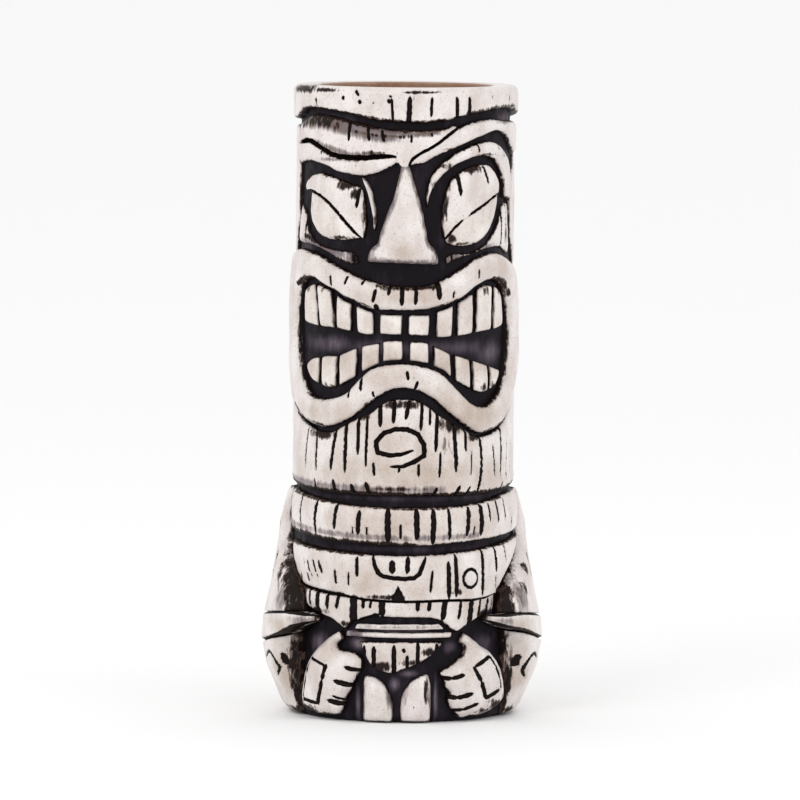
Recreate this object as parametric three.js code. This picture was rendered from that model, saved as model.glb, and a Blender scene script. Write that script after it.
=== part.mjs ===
// Tiki mug: a hollow clay cup with a lining of glaze, dressed all round with carved clay sprigs.
// Millimetres, +Z up. The origin is the centre of the foot, on the cup's axis, and the face looks along -Y.
// A place on the wall is [angle, height]: degrees round the axis from the face's centre line, positive
// towards +X, and millimetres above the foot on a mug of the drawing's height.
import * as THREE from 'three';

// Cup
const mugHeight = 210;
const headRadius = 34.8; // plain wall behind the face
const bellySwell = 1.5; // how far the plain wall stands out over the head's, below the collar
const footSwell = 1.2; // the same at the foot
const wallThickness = 4.4; // measured at the head, where the wall is thinnest
const floorThickness = 6.5;
const footCorner = 2.5;
const cavityCorner = 9;
const lipRadius = 1.5;
const liningThickness = 0.8;
const liningDrop = 1.6; // the lining stops this far under the brim
const seatGap = 0.3; // between a sprig and the wall, and between the lining and the cup

// How far each kind of sprig stands out from its seat on the wall
const rimRise = 2.4;
const browRise = 2.2;
const templeRise = 1.8;
const cheekRise = 1.1;
const lidRise = 2;
const eyeRise = 1.6;
const noseTopRise = 1.5;
const noseTipRise = 5.9;
const lipRise = 3.5;
const toothRise = 2.1;
const chinRise = 2.3;
const bandRise = 2.4;
const chestRise = 2.9;
const skirtRise = 2;
const beltRise = 1.7;
const clothRise = 1.5;
const footRise = 3.4;
const handRise = 5.4;
const cuffProud = 0.9; // the cuff stands this far over the arm
const elbowSpread = 12.3; // how far the arm stands out over the head's wall at the elbow
const shoulderSpread = 3.4; // the same at the shoulder
const ankleSpread = 4.2; // the same at the foot of the thigh

// Carved gaps
const grooveInset = 0.32; // each sprig stops this far inside its outline, so neighbours leave a carved line
const toothInset = 0.16;
const beltInset = 0.05;
const sideShare = 0.55; // thickness of a sprig along its two long edges, as a share of its crown
const endShare = 0.7; // the same at its two ends
const drawingHeight = 210;

const stretch = mugHeight / drawingHeight;
const bellyRadius = headRadius + bellySwell;
const footRadius = headRadius + footSwell;
const cavityRadius = headRadius - wallThickness;
const elbowReach = headRadius + elbowSpread;
const shoulderReach = headRadius + shoulderSpread;
const degree = Math.PI / 180;
const lathSegments = 36;
const cream = 0xe9e0d2;
const ivory = 0xece5da;
const wash = 0x33262b;
const tan = 0x9b6a4b;

// The plain wall: straight up from the foot, in at the collar, then straight to the brim.
const wallLine = [
  [0, footRadius], [70, bellyRadius], [80, headRadius], [drawingHeight, headRadius],
];
const armLine = [
  [0, headRadius + ankleSpread], [8, elbowReach - 4.8], [16, elbowReach - 1.5], [24, elbowReach],
  [34, elbowReach - 0.9], [44, elbowReach - 2.9], [52, elbowReach - 4.3], [64, elbowReach - 5.5],
  [72, shoulderReach + 1.1], [78, shoulderReach],
];

function along(line, height) {
  const last = line.length - 1;
  if (height <= line[0][0]) return line[0][1];
  for (let i = 0; i < last; i += 1) {
    const [low, atLow] = line[i];
    const [high, atHigh] = line[i + 1];
    if (height <= high) return atLow + ((atHigh - atLow) * (height - low)) / (high - low);
  }
  return line[last][1];
}

function onWall(angle, height, lift) {
  const radius = along(wallLine, height) + seatGap + lift;
  return [radius * Math.sin(angle * degree), -radius * Math.cos(angle * degree), height * stretch];
}

// A smooth line through [angle, height] places, read at equal steps of its length.
function edge(places) {
  const points = places.map(([angle, height]) => new THREE.Vector3(angle * headRadius * degree, height, 0));
  const curve = new THREE.CatmullRomCurve3(points, false, 'centripetal');
  return (share) => {
    const point = curve.getPointAt(share);
    return [point.x / (headRadius * degree), point.y];
  };
}

function solid(positions, faces) {
  const geometry = new THREE.BufferGeometry();
  geometry.setAttribute('position', new THREE.Float32BufferAttribute(positions, 3));
  geometry.setIndex(signedVolume(positions, faces) < 0 ? faces.reverse() : faces);
  geometry.computeVertexNormals();
  return geometry;
}

function signedVolume(positions, faces) {
  const corner = (i) => new THREE.Vector3().fromArray(positions, 3 * faces[i]);
  let sum = 0;
  for (let i = 0; i < faces.length; i += 3) {
    sum += corner(i).dot(corner(i + 1).cross(corner(i + 2)));
  }
  return sum;
}

// The place at shares u along and v across a sprig's outline, drawn in by the inset at its ends and sides.
function placeIn(first, second, u, v, inset) {
  const length = span(first(0), first(0.5)) + span(first(0.5), first(1));
  const endPull = Math.min(0.25, inset / Math.max(length, 1));
  const share = endPull + (1 - 2 * endPull) * u;
  const from = first(share);
  const to = second(share);
  const sidePull = Math.min(0.3, inset / Math.max(span(from, to), 0.01));
  const part = sidePull + (1 - 2 * sidePull) * v;
  return [from[0] + (to[0] - from[0]) * part, from[1] + (to[1] - from[1]) * part];
}

// The distance in millimetres between two places on the unrolled wall.
function span([angleA, heightA], [angleB, heightB]) {
  return Math.hypot((angleB - angleA) * headRadius * degree, heightB - heightA);
}

// A sprig is a slab of clay on the wall between two edges. Its back lies seatGap off the wall, and its
// front rises from a share of the rise at the border to the whole rise over the middle.
function sprigGeometry(first, second, rise, grid) {
  const { steps, rows, ring = false, side = sideShare, end = endShare, inset = grooveInset } = grid;
  const columns = ring ? steps : steps + 1;
  const positions = [];
  for (const front of [false, true]) {
    for (let i = 0; i < columns; i += 1) {
      for (let j = 0; j <= rows; j += 1) {
        const u = i / steps;
        const v = j / rows;
        const [angle, height] = placeIn(first, second, u, v, ring ? 0 : inset);
        const across = 1 - (2 * v - 1) ** 4;
        const ends = ring ? 1 : 1 - (2 * u - 1) ** 8;
        const crown = (side + (1 - side) * across) * (end + (1 - end) * ends);
        const lift = front ? rise(angle, height) * crown : 0;
        positions.push(...onWall(angle, height, lift));
      }
    }
  }
  return solid(positions, gridFaces(positions, columns, rows, ring));
}

function gridFaces(positions, columns, rows, ring) {
  const faces = [];
  const backCount = columns * (rows + 1);
  const at = (i, j, front) => (i % columns) * (rows + 1) + j + (front ? backCount : 0);
  const corner = (i) => new THREE.Vector3().fromArray(positions, 3 * i);
  // The shorter diagonal keeps a sheared quad close to the round wall.
  const quad = (a, b, c, d) => {
    const straight = corner(a).distanceTo(corner(c)) <= corner(b).distanceTo(corner(d));
    faces.push(...(straight ? [a, b, c, a, c, d] : [a, b, d, b, c, d]));
  };
  const spans = ring ? columns : columns - 1;
  for (let i = 0; i < spans; i += 1) {
    for (let j = 0; j < rows; j += 1) {
      quad(at(i, j, true), at(i + 1, j, true), at(i + 1, j + 1, true), at(i, j + 1, true));
      quad(at(i, j, false), at(i, j + 1, false), at(i + 1, j + 1, false), at(i + 1, j, false));
    }
    quad(at(i, 0, false), at(i + 1, 0, false), at(i + 1, 0, true), at(i, 0, true));
    quad(at(i, rows, true), at(i + 1, rows, true), at(i + 1, rows, false), at(i, rows, false));
  }
  for (let j = 0; j < rows && !ring; j += 1) {
    quad(at(0, j, true), at(0, j + 1, true), at(0, j + 1, false), at(0, j, false));
    quad(at(spans, j, false), at(spans, j + 1, false), at(spans, j + 1, true), at(spans, j, true));
  }
  return faces;
}

const mug = new THREE.Group();

function addPiece(name, geometry, color, roughness = 0.42) {
  const material = new THREE.MeshStandardMaterial({ color, roughness, metalness: 0 });
  const mesh = new THREE.Mesh(geometry, material);
  mesh.name = name;
  mug.add(mesh);
}

function addSprig(name, firstPlaces, secondPlaces, rise, grid, color = cream) {
  const riseAt = typeof rise === 'function' ? rise : () => rise;
  addPiece(name, sprigGeometry(edge(firstPlaces), edge(secondPlaces), riseAt, grid), color);
}

function mirrored(places) {
  return places.map(([angle, height]) => [-angle, height]);
}

function lathe(profile) {
  const geometry = new THREE.LatheGeometry(profile, lathSegments);
  geometry.rotateX(Math.PI / 2);
  return geometry;
}

function roundCorner(profile, centreX, centreY, radius, fromAngle, toAngle, steps) {
  for (let i = 0; i <= steps; i += 1) {
    const angle = (fromAngle + ((toAngle - fromAngle) * i) / steps) * degree;
    profile.push(new THREE.Vector2(centreX + radius * Math.cos(angle), centreY + radius * Math.sin(angle)));
  }
}

// ---- Cup and lining
function cupProfile() {
  const profile = [new THREE.Vector2(0, 0)];
  roundCorner(profile, footRadius - footCorner, footCorner, footCorner, -90, 0, 3);
  profile.push(new THREE.Vector2(bellyRadius, wallLine[1][0] * stretch));
  profile.push(new THREE.Vector2(headRadius, wallLine[2][0] * stretch));
  roundCorner(profile, headRadius - lipRadius, mugHeight - lipRadius, lipRadius, 0, 90, 3);
  roundCorner(profile, cavityRadius + lipRadius, mugHeight - lipRadius, lipRadius, 90, 180, 3);
  roundCorner(profile, cavityRadius - cavityCorner, floorThickness + cavityCorner, cavityCorner, 0, -90, 5);
  profile.push(new THREE.Vector2(0, floorThickness));
  return profile;
}

function liningProfile() {
  const outerRadius = cavityRadius - seatGap;
  const innerRadius = outerRadius - liningThickness;
  const bottom = floorThickness + seatGap;
  const top = mugHeight - liningDrop;
  const cornerX = cavityRadius - cavityCorner;
  const cornerY = floorThickness + cavityCorner;
  const profile = [new THREE.Vector2(0, bottom)];
  roundCorner(profile, cornerX, cornerY, cavityCorner - seatGap, -90, 0, 5);
  profile.push(new THREE.Vector2(outerRadius, top));
  profile.push(new THREE.Vector2(innerRadius, top));
  roundCorner(profile, cornerX, cornerY, cavityCorner - seatGap - liningThickness, 0, -90, 5);
  profile.push(new THREE.Vector2(0, bottom + liningThickness));
  return profile;
}

addPiece('cup_body', lathe(cupProfile()), wash, 0.55);
addPiece('inner_glaze', lathe(liningProfile()), tan, 0.25);

// ---- Rim: a ring whose lower edge is the wavy groove across the forehead
const rimTop = drawingHeight - 1.2;
const rimWave = [
  [-180, 199.2], [-140, 199], [-88, 198], [-76, 198.6], [-68, 200.8], [-60, 202.1], [-50, 202.1],
  [-30, 200.6], [-20, 199.2], [-10, 198.4], [10, 198], [20, 198.5], [40, 201], [60, 202.2], [72, 202.2],
  [94, 199.4], [105, 199], [180, 199.2],
];
addPiece('rim_band', sprigGeometry(
  edge(rimWave), edge([[-180, rimTop], [180, rimTop]]), () => rimRise, { steps: 40, rows: 3, ring: true },
), cream);

// ---- Forehead and brows
addSprig('forehead',
  [[-76, 190.2], [-60, 191.7], [-54, 190.9], [-46, 188.6], [-38, 187], [-30, 186.6], [-20, 186.7],
    [-12, 187.3], [-6, 187.1], [-3.8, 185.8], [-2.2, 184.2], [1, 184], [3, 186], [8, 188.4], [15, 190.8],
    [25, 195.4], [29, 196.8]],
  [[-76, 196.4], [-70, 197.2], [-58, 200], [-50, 200.2], [-30, 197.8], [-20, 195.8], [-10, 194.8],
    [0, 194.3], [10, 194.4], [20, 195.6], [29, 197.4]],
  browRise, { steps: 22, rows: 3 });
addSprig('left_brow',
  [[-76, 183.4], [-60, 184.6], [-50, 183.8], [-38, 181.5], [-30, 180.6], [-20, 180.6], [-12, 182.2],
    [-4.4, 184.7], [-2.2, 184.2]],
  [[-76, 190.2], [-60, 191.7], [-54, 190.9], [-46, 188.6], [-38, 187], [-30, 186.6], [-20, 186.7],
    [-12, 187.3], [-6, 187.1], [-2.2, 184.4]],
  browRise, { steps: 14, rows: 3 });
addSprig('right_brow',
  [[2.6, 184], [10, 184.9], [15, 186.6], [36, 191.8], [54, 195], [60, 194.8], [66, 193.6], [72, 191.4],
    [78, 188.6], [90, 186.4]],
  [[1.6, 184.2], [3, 186], [8, 188.4], [15, 190.8], [25, 195.4], [29, 196.8], [34, 198], [42, 199],
    [50, 199.5], [70, 198.6], [90, 198.2]],
  browRise, { steps: 16, rows: 3 });
addSprig('right_brow_ridge',
  [[12.8, 171], [17.5, 178], [21.5, 181.5], [26, 184], [32, 186], [40, 187], [48, 187.3], [52, 186.3],
    [57, 184], [61, 181], [63.5, 178], [64.5, 173]],
  [[11.5, 171], [13, 175], [16, 179.5], [20, 184], [25, 186.8], [36, 191], [46, 192.7], [56, 191.8],
    [60, 190], [64, 187], [67.5, 183], [70.5, 178], [72, 172]],
  browRise, { steps: 16, rows: 3 });

// ---- Eyes: a heavy lid slants over each eyeball
addSprig('left_lid',
  [[-66, 174.7], [-57, 174.9], [-51, 173.9], [-45, 172.1], [-40, 169.9], [-26, 161.4], [-22, 160]],
  [[-68.5, 176.4], [-64, 179], [-58, 180.8], [-50, 181.2], [-38, 179.6], [-27, 177.6], [-23.4, 176.6],
    [-21.4, 172], [-20.4, 167], [-20.8, 161.6]],
  lidRise, { steps: 13, rows: 4 });
addSprig('left_eyeball',
  [[-62, 172.6], [-61.4, 167], [-58, 163], [-52, 160.3], [-45, 159.1], [-38, 158.9], [-24.5, 159.6]],
  [[-61, 174.3], [-57, 174.8], [-51, 173.8], [-45, 172], [-40, 169.8], [-24, 160.4]],
  eyeRise, { steps: 10, rows: 4 });
addSprig('left_eye_fold',
  [[-21.5, 178], [-18.6, 174.6], [-17.2, 170], [-16.9, 163.6]],
  [[-23.5, 180.4], [-18, 176.8], [-15.4, 171], [-14.7, 166], [-15.8, 163.2]],
  eyeRise, { steps: 6, rows: 2 });
addSprig('right_lid',
  [[21.2, 160], [27, 164], [35, 167.6], [52, 173.3], [60.6, 174.9]],
  [[19.8, 162], [19.4, 167], [20.2, 172], [22.5, 176.5], [26, 180], [31, 182.4], [37, 183.8], [44, 184.6],
    [50, 184.4], [55, 182.6], [59.4, 179.6], [61.6, 176.4]],
  lidRise, { steps: 13, rows: 4 });
addSprig('right_eyeball',
  [[21.8, 158.7], [26, 157.6], [35, 157.3], [40, 157.9], [45, 159.2], [50, 161.3], [54, 164.3],
    [57.4, 168], [60, 173.4]],
  [[21.4, 159.6], [27, 164], [31.6, 166.3], [52, 173.3], [60.4, 174.8]],
  eyeRise, { steps: 11, rows: 4 });

// ---- Nose, cheeks and the plain back of the head
const noseTop = 184.3;
const noseFoot = 152.4;
function noseLift(angle, height) {
  const down = (noseTop - height) / (noseTop - noseFoot);
  return noseTopRise + (noseTipRise - noseTopRise) * down;
}
addSprig('nose',
  [[-20.4, 152.2], [-19.8, 155], [-18, 157.2], [-15, 158.8], [-12.6, 164], [-5.6, 176], [-2.8, 184.2]],
  [[18.8, 151.4], [18.2, 154], [16.8, 156.2], [12.8, 159.6], [8.2, 172.8], [2.4, 184.2]],
  noseLift, { steps: 10, rows: 6 });
addSprig('left_cheek',
  [[-80, 157.4], [-66, 157], [-56, 156.3], [-47, 154.9], [-26, 150], [-21.5, 149.4]],
  [[-74, 171], [-67, 167], [-64, 162], [-58, 158.8], [-50, 157], [-42, 156.2], [-28, 156.2],
    [-22.5, 157.6]],
  cheekRise, { steps: 9, rows: 3 });
addSprig('right_cheek',
  [[20, 150.2], [26, 152.3], [30, 153.2], [47, 156], [54, 156.7], [60, 156.6], [75, 153.6]],
  [[19.4, 157], [30, 155.3], [38, 155.4], [45, 157], [50, 158.8], [55, 161.4], [60, 165.2], [63.4, 170],
    [72, 172]],
  cheekRise, { steps: 9, rows: 3 });
addSprig('head_back',
  [[99, 79.6], [99, 132], [93, 147], [86, 154], [77, 159], [75, 168], [76, 174], [79, 181], [93, 186],
    [93, 198.2]],
  [[261, 79.6], [261, 132], [267, 147], [274, 156], [280, 162], [283, 170], [283, 196.4]],
  templeRise, { steps: 12, rows: 17 });

// ---- Mouth: two lips that close on each other at the corners, and two rows of teeth
addSprig('upper_lip',
  [[-75, 126], [-74, 134], [-71, 140], [-66, 144.4], [-60, 145.8], [-56, 146], [-37, 141.8], [-33, 140.2],
    [-18, 136.9], [-12, 136.8], [8, 136.9], [20, 137.8], [32, 140.6], [42, 144.4], [47, 145.6], [52, 146],
    [56, 145.6], [60, 144.3], [64, 141.5], [67, 137], [69.5, 132], [71, 126]],
  [[-95, 126], [-94, 140], [-88, 150], [-80, 154.6], [-72, 155.6], [-65, 155.4], [-50, 153.8],
    [-26, 147.8], [-13, 145.6], [-6, 144.8], [0, 144.6], [13, 145], [22, 147.4], [40, 153.6], [46, 154.7],
    [52, 155.2], [58, 155], [64, 154], [72, 152], [80, 149.4], [90, 141], [93, 126]],
  lipRise, { steps: 30, rows: 4 });
addSprig('lower_lip',
  [[-95, 126.1], [-93, 116], [-86, 108], [-80, 104.5], [-75, 102.4], [-70, 100.6], [-63, 98.7], [-50, 97],
    [-42, 97.3], [-30, 100], [-10, 109], [-5, 110.4], [0, 110.7], [5, 110.3], [15, 107.3], [25, 102],
    [35, 97.6], [40, 96], [45, 95.3], [55, 96.3], [60, 97.4], [70, 102], [91, 117], [93, 126.1]],
  [[-75, 126.1], [-73, 121], [-68, 115], [-63, 110.5], [-58, 107.6], [-52, 106.7], [-45, 106.7],
    [-38, 107.5], [-32, 109], [-20, 116.3], [-15, 118], [-10, 118.8], [0, 119.3], [5, 119], [15, 117.5],
    [20, 116], [35, 107.2], [40, 105.2], [45, 104.6], [50, 104.8], [55, 106.5], [60, 109], [65, 113],
    [69, 118], [71, 126.1]],
  lipRise, { steps: 30, rows: 4 });

// Each tooth's left and right edge, in degrees, where it is longest and at its free end
const upperTeeth = [
  [-66.3, -55.5, -65.7, -52.8], [-53.7, -42.3, -50.4, -40.8], [-38.4, -29.5, -38.4, -29.7],
  [-26.2, -16.7, -25.3, -16.5], [-12.7, -1.3, -12.7, -1.5], [2.3, 13.4, 2.4, 12.9],
  [17.6, 26.4, 17.6, 25.9], [30, 38.9, 29.5, 38.9], [42.1, 53.3, 42.1, 52.8], [56.1, 62.8, 55.5, 64.5],
];
const lowerTeeth = [
  [-63.4, -51.7, -60.8, -52.3], [-49, -38.9, -49, -38.9], [-36.3, -26.1, -36.3, -26.4],
  [-22.7, -13.4, -22.7, -13.4], [-11, -0.8, -11, -1], [3.1, 12.9, 3.1, 12.9], [16, 24.8, 16.5, 25.9],
  [27.9, 36.8, 29, 37.9], [39.5, 50.1, 40.5, 50.6], [52.3, 61.7, 52.8, 58.6],
];
const upperGum = [
  [-67, 141.8], [-62, 143.6], [-56, 144.6], [-42, 142.4], [-38, 141.2], [-33, 139.3], [-16.6, 136],
  [-12.6, 134.8], [13, 134.6], [17.6, 136.4], [24, 137.6], [32, 139.8], [42, 143.4], [50, 144.9],
  [57, 144.2], [65, 140],
];
const upperBite = [
  [-66, 131.2], [-55, 130.2], [-40, 130], [-20, 128.6], [-12, 130.2], [0, 130], [14, 128], [20, 127.4],
  [33, 128], [45, 129], [57, 129.5], [65, 130.5],
];
const lowerBite = [
  [-64, 117.4], [-58, 119.6], [-44, 121], [-38, 121], [-36, 121.8], [-30, 123], [-22, 125], [-14, 125.6],
  [-11, 126.6], [0, 126.8], [3, 126.4], [13, 126.2], [16, 124.9], [25, 122.4], [62, 116],
];
const lowerGum = [
  [-64, 115], [-58, 112.4], [-52, 111], [-45, 110], [-38, 110.6], [-28, 113.6], [-22, 116.6], [-14, 118.6],
  [-10.5, 120.6], [0, 120.9], [5, 120], [12, 119.6], [17, 118.2], [22, 116.4], [27, 113.6], [38, 110],
  [44, 108.8], [50, 109], [55, 110], [62, 113],
];

function addTeeth(row, splits, lowLine, highLine) {
  splits.forEach(([topLeft, topRight, lowLeft, lowRight], i) => {
    const places = (line, left, right) => [left, (left + right) / 2, right].map((a) => [a, along(line, a)]);
    addSprig(`${row}_tooth_${i + 1}`, places(lowLine, lowLeft, lowRight), places(highLine, topLeft, topRight),
      toothRise, { steps: 2, rows: 2, inset: toothInset }, ivory);
  });
}
addTeeth('upper', upperTeeth, upperBite, upperGum);
addTeeth('lower', lowerTeeth, lowerGum, lowerBite);

// ---- Chin and the bands of the body
addSprig('chin',
  [[-96, 79], [-85, 77.4], [-75, 76.8], [-22, 76], [0, 76.2], [22, 75.8], [41, 75.8], [75, 76.6],
    [96, 78.6]],
  [[-96, 112.6], [-88, 107.4], [-75, 100.8], [-66, 98.6], [-50, 95.7], [-40, 96.2], [-18, 102.8],
    [-12, 105.6], [-6, 107.2], [0, 107.6], [6, 107.2], [12, 105.6], [24, 100.4], [42, 94.9], [48, 94.8],
    [60, 96.6], [66, 98.5], [72, 101.5], [80, 107.6], [94, 113]],
  chinRise, { steps: 28, rows: 5 });
addSprig('shoulder_band',
  [[-68, 62.6], [-60, 61.9], [-20, 60.2], [10, 59.6], [72, 61.6], [80, 62.4]],
  [[-74, 75], [-25, 71.3], [-10, 70.9], [30, 71.3], [50, 72.6], [70, 74.6], [79, 75]],
  bandRise, { steps: 18, rows: 4 });
addSprig('chest_band',
  [[-62, 44.6], [-54, 43.4], [-30, 42], [-22, 41.2], [0, 40.5], [22, 40.8], [41, 40.6], [54, 42.2],
    [60, 44], [72, 50], [80, 55.4]],
  [[-70, 56.2], [-40, 56.4], [-15, 55.5], [0, 55.6], [30, 56.5], [50, 57.8], [82, 58.6]],
  chestRise, { steps: 20, rows: 4 });
addSprig('skirt',
  [[-58, 37.3], [-50.2, 35.4], [-38.2, 33.5], [-29.6, 30.7], [-27.3, 32.5], [-23.4, 33.6], [-12, 35],
    [13.3, 34.7], [20, 33.7], [29, 29.8], [41.8, 33.9], [47.8, 35.4], [54, 36.3]],
  [[-62, 44.4], [-54, 43.2], [-30, 41.8], [-22, 41], [0, 40.3], [22, 40.6], [41, 40.4], [54, 42]],
  skirtRise, { steps: 18, rows: 3 });
addSprig('belt_upper',
  [[-24.7, 31.2], [0, 31.3], [22.4, 31.4]],
  [[-23.6, 32.5], [0, 32.9], [19, 33]],
  beltRise, { steps: 6, rows: 2, inset: beltInset });
addSprig('belt_lower',
  [[-30.4, 28.8], [0, 28.5], [24.7, 28.5]],
  [[-29.3, 30.1], [0, 29.9], [27, 29.9]],
  beltRise, { steps: 7, rows: 2, inset: beltInset });
addSprig('loincloth',
  [[-18.4, 20.4], [-15.4, 18.4], [-9, 16.8], [-4.5, 16.2], [11.3, 20.4], [21.5, 25.5]],
  [[-23, 26.8], [-9, 27.2], [22.6, 27]],
  clothRise, { steps: 9, rows: 3 });

// ---- Arms, cuffs, thighs, hands and feet
function armLift(angle, height) {
  return along(armLine, height) - along(wallLine, height) - seatGap;
}
function cuffLift(angle, height) {
  return armLift(angle, height) + cuffProud;
}
const armFront = [
  [58, 36], [60, 40.6], [63, 44], [68, 47.4], [74, 51], [80, 55.4], [83, 60], [82, 67], [80, 75],
];
const armBack = [[117, 33.2], [119, 44], [120, 52], [119, 60], [114, 68], [106, 75]];
const thighFoot = [[62, 0.5], [75, 0.5], [95, 0.5], [117, 0.5]];
const leftCuffLow = [
  [-51, 33.4], [-56, 30.4], [-62, 28], [-70, 26.2], [-80, 24.6], [-90, 23.4], [-104, 22.8],
  [-117, 22.8],
];
const leftCuffHigh = [
  [-50.6, 34.8], [-56, 35], [-62, 35], [-70, 34.4], [-80, 33.4], [-91, 32.6], [-104, 32.2],
  [-117, 32.4],
];
const rightCuffLow = [
  [45, 33.6], [50, 31.6], [56, 30.6], [63, 29.6], [72, 27.6], [82, 25.8], [92, 24.4], [104, 23.4],
  [117, 22.8],
];
const rightCuffHigh = [
  [45, 35], [53, 35.3], [60, 35.2], [70, 34.4], [80, 33.4], [91, 32.6], [104, 32.2], [117, 32.4],
];

function thighTop(cuffLow) {
  return cuffLow.filter(([angle]) => Math.abs(angle) > 60);
}

const limbGrid = { steps: 8, rows: 7, side: 0.4, end: 0.92 };
const cuffGrid = { steps: 10, rows: 3, side: 0.9, end: 0.4 };
const thighGrid = { steps: 8, rows: 6, side: 0.8, end: 0.5 };
addSprig('left_arm', mirrored(armFront), mirrored(armBack), armLift, limbGrid);
addSprig('right_arm', armFront, armBack, armLift, limbGrid);
addSprig('left_cuff', leftCuffLow, leftCuffHigh, cuffLift, cuffGrid);
addSprig('right_cuff', rightCuffLow, rightCuffHigh, cuffLift, cuffGrid);
addSprig('left_thigh', mirrored(thighFoot), thighTop(leftCuffLow), armLift, thighGrid);
addSprig('right_thigh', thighFoot, thighTop(rightCuffLow), armLift, thighGrid);
addSprig('left_hand',
  [[-49.2, 1.6], [-55.5, 2.4], [-58.2, 4.3], [-58.7, 6.8], [-58.2, 9.8], [-54.5, 17.8], [-51.3, 21.4],
    [-48.2, 23.4], [-44, 25.9], [-33.4, 30.6]],
  [[-38.9, 1.4], [-32.7, 2.2], [-30.6, 3.9], [-28.1, 8.4], [-25.5, 10.9], [-21.9, 16.4], [-20.2, 17.4],
    [-20, 20.4], [-21.4, 22.2], [-25.5, 23.4], [-32.7, 24.1], [-34.2, 25.2], [-30.6, 27.4], [-32.2, 30.4]],
  handRise, { steps: 17, rows: 5 });
addSprig('right_hand',
  [[36.8, 1.4], [30.6, 1.4], [27.6, 3.1], [24, 6.4], [23.5, 8.3], [24.5, 9.9], [22.2, 11.9], [21.7, 13.9],
    [18.9, 16.9], [25.5, 19.3], [32.2, 22.5], [32.7, 24.9], [30.1, 26.9], [32.3, 30.1]],
  [[45.1, 1.6], [51.3, 2.6], [57.7, 4.6], [60.9, 6.8], [61.4, 9.8], [60.4, 13.8], [57.4, 17.8],
    [53.4, 21.2], [48.2, 23.9], [38.9, 27.4], [33.2, 30.2]],
  handRise, { steps: 17, rows: 5 });
addSprig('left_foot',
  [[-18, 0.3], [-18.2, 13.6], [-18.8, 15.6]],
  [[-6.4, 0.3], [-6, 2.7], [-6.4, 6.7], [-8.6, 10.7], [-11.8, 13.6], [-16.4, 15.7]],
  footRise, { steps: 7, rows: 3 });
addSprig('right_foot',
  [[0.7, 0.3], [0.4, 5.7], [1.1, 9.7], [3.2, 12.7], [6.4, 14.9], [11, 16.2]],
  [[12.9, 0.3], [13.4, 5.7], [12.9, 16.2]],
  footRise, { steps: 7, rows: 3 });

// ---- Back of the body
addSprig('shoulder_band_back',
  [[121, 61.4], [121.5, 67], [115, 75]],
  [[239, 61.4], [238.5, 67], [245, 75]],
  bandRise, { steps: 3, rows: 13 });
addSprig('lower_back',
  [[120, 1], [121, 20], [121, 40], [122, 57.6]],
  [[240, 1], [239, 20], [239, 40], [238, 57.6]],
  chestRise, { steps: 7, rows: 13 });

export default mug;
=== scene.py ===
import math
import bpy
import numpy as np
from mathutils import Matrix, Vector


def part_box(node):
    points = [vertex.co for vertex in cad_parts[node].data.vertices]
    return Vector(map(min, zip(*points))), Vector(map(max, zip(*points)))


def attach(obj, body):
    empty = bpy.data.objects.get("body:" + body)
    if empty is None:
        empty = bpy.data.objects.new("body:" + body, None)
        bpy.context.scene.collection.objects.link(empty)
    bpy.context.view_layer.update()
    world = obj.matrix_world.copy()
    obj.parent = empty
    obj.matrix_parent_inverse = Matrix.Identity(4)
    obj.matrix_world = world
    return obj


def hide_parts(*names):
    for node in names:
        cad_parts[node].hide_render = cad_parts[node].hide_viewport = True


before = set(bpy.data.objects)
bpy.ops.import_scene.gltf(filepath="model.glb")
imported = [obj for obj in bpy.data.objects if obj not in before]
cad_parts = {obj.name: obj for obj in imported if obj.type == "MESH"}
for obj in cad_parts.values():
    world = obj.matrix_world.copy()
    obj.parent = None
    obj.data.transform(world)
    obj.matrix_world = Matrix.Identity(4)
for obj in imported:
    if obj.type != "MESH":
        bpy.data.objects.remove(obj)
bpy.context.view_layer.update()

print("frame loaded:", len(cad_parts), "nodes")

# A place on the mug is (angle, height): degrees round the axis from the face's centre line, and
# millimetres above the foot as drawn on a mug of the drawing's height.
drawing = {"height": 210.0}
standOut = {"rim": 2.7, "bellySwell": 1.5, "footSwell": 1.2}  # millimetres over the head's plain wall


def millimetres(node):
    low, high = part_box(node)
    return np.array(low) * 1000, np.array(high) * 1000


mugHeight = millimetres("cup_body")[1][2]
headRadius = millimetres("rim_band")[1][0] - standOut["rim"]
bellyRadius = headRadius + standOut["bellySwell"]
footRadius = headRadius + standOut["footSwell"]
stretch = mugHeight / drawing["height"]
mmPerDegree = math.radians(1) * (headRadius + 1.5)
elbowReach = -millimetres("left_cuff")[0][0] - 0.9
cavityRadius = headRadius - 4.4  # inside the wall
shoulderReach = headRadius + 3.4


def wallRadius(height):
    return np.interp(height, [0, 68, 82, 210], [footRadius, bellyRadius, headRadius, headRadius])


# Waves: a sum of a few slow sine waves over the wall, between -1 and 1, the same for every piece.
def waves(angle, height, size, shift=0.0):
    x = angle * mmPerDegree / size + shift
    y = height / size - shift * 0.7
    return (np.sin(x * 1.7 + 2.1 * np.sin(y * 0.9)) + np.sin(y * 2.3 + 1.7 * np.sin(x * 1.1 + 1.0))
            + np.sin(x * 3.1 - y * 2.6 + shift)) / 3


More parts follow.
